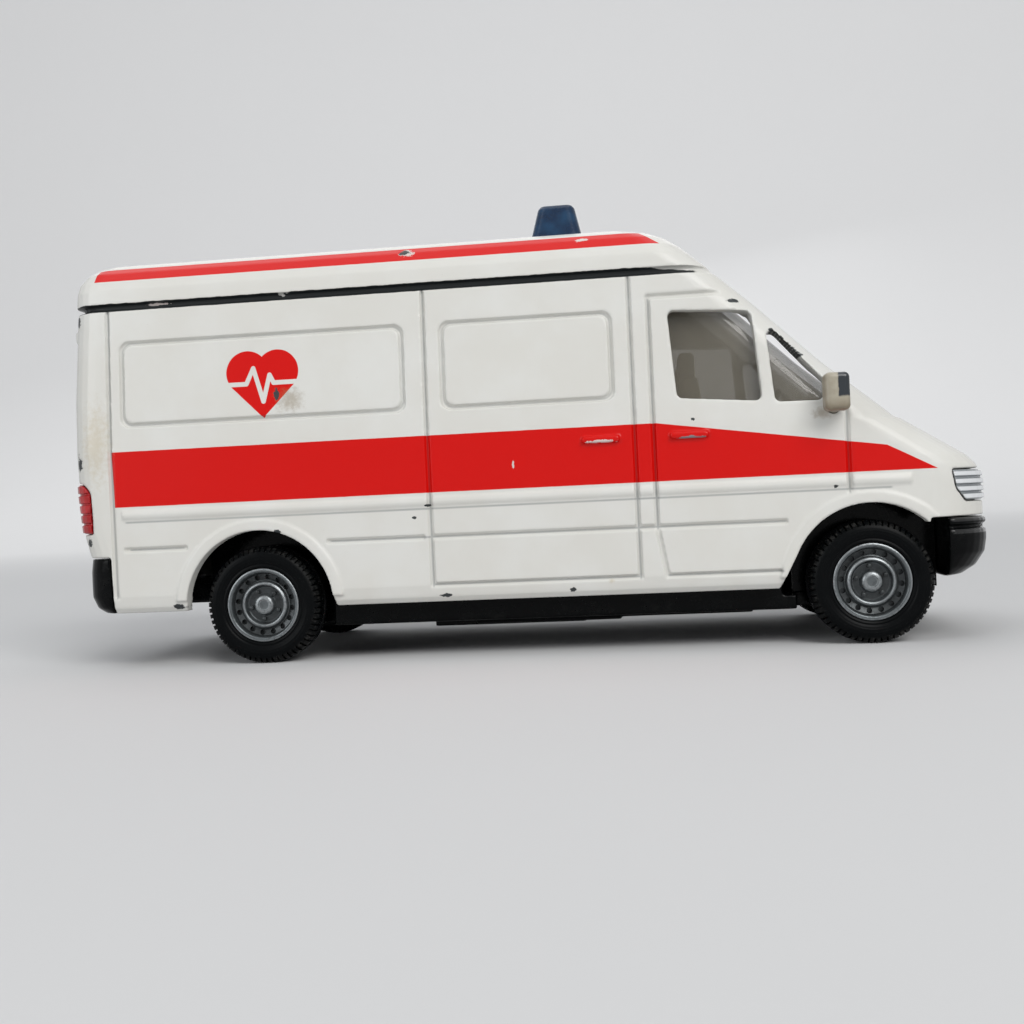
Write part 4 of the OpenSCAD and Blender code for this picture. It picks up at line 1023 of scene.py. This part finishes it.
@dataclass
class Wheels:
    """Four wheels: notched tyres on pressed discs, modelled once and copied; sizes in millimetres."""

    radius: float = 5.15
    half: float = 1.8
    rim: float = 3.25
    shoulder: float = 0.9
    blocks: int = 60
    steps_per_block: int = 3
    notch_from: float = 0.5
    notch_radius: float = 4.72
    notch_depth: float = 0.24
    centre_y: float = 11.8
    turns: tuple[float, float] = (0.31, 1.13)
    side_turn: float = 0.4
    tyre_crease: float = 38.0
    disc_crease: float = 34.0
    disc_steps: int = 96
    inset: float = 0.12
    ring: float = 1.9
    vents: int = 16
    vent_radius: float = 0.24
    vent_length: float = 0.9
    vent_sunk: float = 0.75
    nuts: int = 5
    nut_radius: float = 0.2
    nut_length: float = 0.5
    nut_sunk: float = 0.82
    nut_bevel: float = 0.05

    def tyre(self) -> bpy.types.Object:
        """Model one tyre at the origin, its outer face towards -Y.

        Returns:
            The tyre in millimetres.
        """
        r, h, s, rim = self.radius, self.half, self.shoulder, self.rim
        wall = [
            (rim, h - 0.3), (rim + 0.06, h - 0.16), (rim + 0.2, h - 0.1), (rim + 0.34, h - 0.14),
            (rim + 0.42, h - 0.1), (rim + 0.62, h - 0.02), (r - s - 0.05, h),
        ]
        arc = [
            (r - s + s * math.sin(math.radians(a)), h - s + s * math.cos(math.radians(a)))
            for a in (8, 18, 28, 36, 44, 52, 60, 68, 76, 84)
        ]
        crown = [(r, h - s), (r, self.notch_from), (r, 0.3), (r - 0.16, 0.22), (r - 0.16, 0.0)]
        outer = [(radius, -offset) for radius, offset in wall + arc + crown]
        inner = [(radius, -offset) for radius, offset in reversed(outer[:-1])]
        piece = Bench.lathe("tyre_form", outer + inner, self.blocks * self.steps_per_block)
        for sign in (-1, 1):
            self._notch(piece, sign)
        Bench.smooth(piece, self.tyre_crease)
        return piece

    def _notch(self, piece: bpy.types.Object, sign: int) -> None:
        """Press the row of tread notches into one shoulder."""
        pitch = math.tau / self.blocks
        share = 1 / self.steps_per_block

        def in_notch(centre: Vector) -> bool:
            """Whether a face lies in a notch."""
            turn = math.atan2(centre.z, centre.x) / pitch + (0.5 if sign > 0 else 0.0)
            reach = math.hypot(centre.x, centre.z)
            outside = reach > self.notch_radius and centre.y * sign > self.notch_from
            return outside and (turn % 1.0) < share

        Bench.pick(piece)
        Bench.faces_where(piece, in_notch)
        bpy.ops.object.mode_set(mode="EDIT")
        bpy.ops.mesh.select_mode(type="FACE")
        bpy.ops.mesh.extrude_region_shrink_fatten(TRANSFORM_OT_shrink_fatten={"value": -self.notch_depth})
        bpy.ops.object.mode_set(mode="OBJECT")

    def disc(self) -> bpy.types.Object:
        """Model one wheel disc at the origin, its outer face towards -Y.

        Returns:
            The disc in millimetres.
        """
        r, ring, face = self.rim, self.ring, self.half - self.inset
        back = -self.half + self.inset
        lip = [
            (r - 0.02, face - 0.12), (r - 0.05, face - 0.04), (r - 0.12, face), (r - 0.28, face),
            (r - 0.36, face - 0.05), (r - 0.42, face - 0.18), (r - 0.47, face - 0.5), (r - 0.53, face - 0.62),
        ]
        swell = [
            (ring + 0.32, face - 0.8), (ring + 0.22, face - 0.76), (ring + 0.15, face - 0.5),
            (ring + 0.06, face - 0.4), (ring - 0.06, face - 0.36), (ring - 0.16, face - 0.4),
            (ring - 0.24, face - 0.54), (ring - 0.3, face - 0.8), (ring - 0.36, face - 0.85),
        ]
        cap = [
            (1.0, face - 0.85), (0.93, face - 0.78), (0.87, face - 0.4), (0.8, face - 0.28), (0.66, face - 0.2),
            (0.5, face - 0.19), (0.46, face - 0.26), (0.4, face - 0.27), (0.0, face - 0.25),
        ]
        profile = [(0.0, back), (r - 0.02, back), *lip, *swell, *cap]
        piece = Bench.lathe("disc_form", [(radius, -offset) for radius, offset in profile], self.disc_steps)
        vents = self._stubs(
            self.vents, math.pi / self.vents, (r - 0.45 + ring + 0.22) / 2, self.vent_sunk - face,
            vertices=16, radius=self.vent_radius, depth=self.vent_length,
        )
        Bench.join(vents[0], vents)
        Bench.apply(piece, "BOOLEAN", operation="DIFFERENCE", solver="EXACT", object=vents[0])
        bpy.data.objects.remove(vents[0], do_unlink=True)
        nuts = self._stubs(
            self.nuts, math.pi / 2, (ring - 0.3 + 0.95) / 2, self.nut_sunk - face,
            vertices=6, radius=self.nut_radius, depth=self.nut_length,
        )
        steep = math.radians(40)
        for nut in nuts:
            Bench.apply(nut, "BEVEL", width=self.nut_bevel, segments=2, limit_method="ANGLE", angle_limit=steep)
        Bench.join(piece, nuts)
        Bench.smooth(piece, self.disc_crease)
        return piece

    @staticmethod
    def _stubs(count: int, start: float, reach: float, offset: float, **shape: Any) -> list[bpy.types.Object]:
        """Model a ring of short cylinders along Y.

        Args:
            count: Number of cylinders.
            start: Turn of the first one in radians.
            reach: Radius of the ring.
            offset: Place of their middles along Y.
            shape: Their vertices, radius and depth.

        Returns:
            The cylinders.
        """
        stubs = []
        for i in range(count):
            turn = i * math.tau / count + start
            place = (reach * math.cos(turn), offset, reach * math.sin(turn))
            Bench.clear()
            bpy.ops.mesh.primitive_cylinder_add(rotation=(math.pi / 2, 0, 0), location=place, **shape)
            bpy.ops.object.transform_apply(location=True, rotation=True, scale=True)
            stubs.append(bpy.context.object)
        return stubs

    def build(self, rubber: bpy.types.Material, silver: bpy.types.Material) -> None:
        """Copy the tyre and the disc to the four corners.

        Args:
            rubber: Finish of the tyres.
            silver: Finish of the discs.
        """
        forms = {"tyre": (self.tyre(), "tyre", rubber), "hub": (self.disc(), "hub_grey", silver)}
        for (end, x), turn in zip(AXLE_X.items(), self.turns):
            for side in Side:
                word = side.name.lower()
                spot = Matrix.Translation((x, side.value * self.centre_y, AXLE_Z))
                spin = Matrix.Rotation(turn + self.side_turn * side.value, 4, "Y")
                facing = Matrix.Rotation(math.pi if side is Side.LEFT else 0.0, 4, "Z")
                for kind, (form, slot, material) in forms.items():
                    node = f"{kind}_{end}_{word}"
                    copy = bpy.data.objects.new("turned_" + node, form.data.copy())
                    bpy.context.scene.collection.objects.link(copy)
                    copy.data.transform(spot @ spin @ facing)
                    settle(copy, f"{end}_wheels", slot, material, node)
        for form, _, _ in forms.values():
            bpy.data.objects.remove(form, do_unlink=True)


# Studio


@dataclass(frozen=True)
class Lamp:
    """One square lamp that faces the van.

    Args:
        name: Name of the lamp.
        place: Place in metres.
        size: Side of the square in metres.
        power: Power in watts.
        tint: Colour of its light.
        target: Place that it faces.
    """

    name: str
    place: Place
    size: float
    power: float
    tint: Colour
    target: Place = (0.0, 0.0, 0.018)

    def hang(self) -> None:
        """Add the lamp to the scene."""
        data = bpy.data.lights.new(self.name, "AREA")
        data.shape = "SQUARE"
        data.size = self.size
        data.energy = self.power
        data.color = self.tint
        lamp = bpy.data.objects.new(self.name, data)
        bpy.context.scene.collection.objects.link(lamp)
        lamp.location = self.place
        aim = Vector(self.target) - Vector(self.place)
        lamp.rotation_euler = aim.to_track_quat("-Z", "Y").to_euler()


@dataclass
class Studio:
    """Floor with a raised back, soft lamps and the camera at the photograph's place.

    The camera's place and the glow's radii are in millimetres, its turns in degrees, the floor's sizes in metres.
    """

    camera_at: Place = (11.33, -115.62, 12.94)
    yaw: float = 6.63
    pitch: float = -0.35
    roll: float = 2.7
    lens: float = 42.1875
    sensor: float = 36.0
    clip: Point = (0.001, 20.0)
    floor_size: float = 2.4
    floor_y: float = -0.4
    back_y: float = 0.7
    back_high: float = 1.2
    back_round: float = 0.35
    back_steps: int = 16
    floor_colour: Colour = (0.62, 0.625, 0.63)
    world_colour: Colour = (0.24, 0.245, 0.255)
    pale: Colour = (0.6, 0.605, 0.61)
    glow: float = 0.36
    glow_from: float = 90.0
    glow_to: float = 700.0
    lamps: tuple[Lamp, ...] = (
        Lamp("key", (0.26, -0.42, 0.38), 0.36, 2.55, (1.0, 0.99, 0.975)),
        Lamp("over", (-0.05, 0.0, 0.6), 0.6, 1.05, (0.98, 0.99, 1.0)),
        Lamp("fill", (-0.42, -0.4, 0.2), 0.3, 0.85, (0.97, 0.985, 1.0)),
        Lamp("behind", (-0.1, 0.5, 0.45), 0.6, 0.7, (1.0, 1.0, 1.0)),
    )

    def camera(self) -> None:
        """Place the camera."""
        yaw, pitch, roll = (math.radians(a) for a in (self.yaw, self.pitch, self.roll))
        ahead = Vector((-math.sin(yaw) * math.cos(pitch), math.cos(yaw) * math.cos(pitch), math.sin(pitch)))
        right = Vector((math.cos(yaw), math.sin(yaw), 0))
        up = right.cross(ahead)
        across = right * math.cos(roll) - up * math.sin(roll)
        over = right * math.sin(roll) + up * math.cos(roll)
        data = bpy.data.cameras.new("camera")
        data.lens = self.lens
        data.sensor_width = self.sensor
        data.clip_start, data.clip_end = self.clip
        lens = bpy.data.objects.new("camera", data)
        bpy.context.scene.collection.objects.link(lens)
        frame = Matrix((across, over, -ahead)).transposed().to_4x4()
        lens.matrix_world = Matrix.Translation(Vector(self.camera_at) * MM) @ frame
        bpy.context.scene.camera = lens

    def floor(self) -> None:
        """Model the floor and its raised back."""
        Bench.clear()
        bpy.ops.mesh.primitive_plane_add(size=self.floor_size, location=(0, self.floor_y, 0))
        sweep = bpy.context.object
        sweep.name = "floor"
        bpy.ops.object.transform_apply(location=True, rotation=True, scale=True)
        for part in (*sweep.data.vertices, *sweep.data.polygons):
            part.select = False
        for edge in sweep.data.edges:
            ends = [sweep.data.vertices[i].co.y for i in edge.vertices]
            edge.select = min(ends) > self.back_y
        bpy.ops.object.mode_set(mode="EDIT")
        bpy.ops.mesh.select_mode(type="EDGE")
        bpy.ops.mesh.extrude_region_move(TRANSFORM_OT_translate={"value": (0, 0, self.back_high)})
        bpy.ops.object.mode_set(mode="OBJECT")
        Bench.apply(sweep, "BEVEL", width=self.back_round, segments=self.back_steps, limit_method="ANGLE")
        Bench.pick(sweep)
        bpy.ops.object.shade_smooth()
        s = Shade("pale_floor")
        clouds = s.noise(60.0, 3)
        dim = tuple(c * 0.97 for c in self.floor_colour)
        s.set(Base_Color=s.mix(clouds, dim, self.floor_colour))
        s.set(Roughness=0.75 + clouds * 0.1, Specular_IOR_Level=0.2)
        lift = (s.x * s.x + s.y * s.y).root().ramp(self.glow_from, self.glow_to) * s.seen()
        s.set(Emission_Color=s.mix(lift, (0.0, 0.0, 0.0), (self.glow,) * 3), Emission_Strength=1.0)
        sweep.data.materials.append(s.material)

    def build(self) -> None:
        """Set up the floor, the light and the camera."""
        scene = bpy.context.scene
        scene.view_settings.view_transform = "Standard"
        world = bpy.data.worlds.new("studio")
        world.use_nodes = True
        sky = Tree(world.node_tree)
        surround = sky.mix(sky.seen(), self.world_colour, self.pale)
        sky.feed(sky.tree.nodes["Background"].inputs["Color"], surround)
        scene.world = world
        self.floor()
        for lamp in self.lamps:
            lamp.hang()
        self.camera()


def dress(nodes: dict[str, bpy.types.Object], names: tuple[str, ...], material: bpy.types.Material) -> None:
    """Give CAD nodes that keep their own shape a finish.

    Args:
        nodes: CAD nodes by name.
        names: Names of the nodes.
        material: Their finish.
    """
    for name in names:
        nodes[name].data.materials.clear()
        nodes[name].data.materials.append(material)
        LOG.info("%s dressed", name)


def main() -> None:
    """Build the ambulance around its frame."""
    logging.basicConfig(level=logging.INFO, format="%(message)s")
    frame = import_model()
    nodes = frame["nodes"]
    Studio().build()

    black = Plastic(
        "black_plastic", (0.002, 0.0024, 0.0026), rough=0.15, mottle=0.3, dusting=0.01, shine=0.08,
        crests=(9.25, 10.25),
    ).make()
    dark = Plastic("dark_plastic", (0.009, 0.01, 0.011)).make()
    tan = Plastic("tan_plastic", (0.47, 0.385, 0.245), rough=0.4, mottle=0.14, dusting=0.02).make()
    steel = Metal("steel", (0.5, 0.5, 0.5), rough=0.32).make()
    heights = [corner.co.z / MM for corner in nodes["headlight_right"].data.vertices]
    silver = RibbedLens(min(heights), max(heights)).make()
    grey = DiscFinish().make()
    red = Tinted("red_lamp", (0.36, 0.008, 0.01), (0.55, 0.03, 0.035), rough=0.16, through=0.1).make()
    blue = Tinted("blue_lamp", (0.0025, 0.022, 0.065), (0.008, 0.05, 0.12), rough=0.12, through=0.25).make()
    mirror = MirrorFinish().make()

    Casting().build(nodes)
    Moulding("chassis_base", "black_plastic", voxel=0.13, faces=110_000).build(nodes, black)
    Moulding("window_glazing", "clear_plastic", voxel=0.0).build(nodes, Clear().make())
    Moulding("cab_interior", "tan_plastic", voxel=0.16, passes=3, faces=60_000).build(nodes, tan)
    Moulding("steering_wheel", "dark_plastic", voxel=0.07).build(nodes, dark)
    Moulding("light_bar", "blue_plastic", voxel=0.08).build(nodes, blue)
    for side in Side:
        word = side.name.lower()
        Moulding(f"headlight_{word}", "silver_lamp", voxel=0.05, passes=5).build(nodes, silver)
        Moulding(f"tail_light_{word}", "red_plastic", voxel=0.05, passes=5).build(nodes, red)
        Moulding(f"mirror_{word}", "dark_plastic", voxel=0.06, passes=3).build(nodes, mirror)
    Wheels().build(Rubber().make(), grey)
    dress(nodes, ("front_grille",), dark)
    dress(nodes, ("front_axle", "rear_axle", "base_rivets"), steel)
    dress(nodes, ("front_axle_keeper", "rear_axle_keeper"), black)

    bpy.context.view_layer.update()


if __name__ == "__main__":
    main()
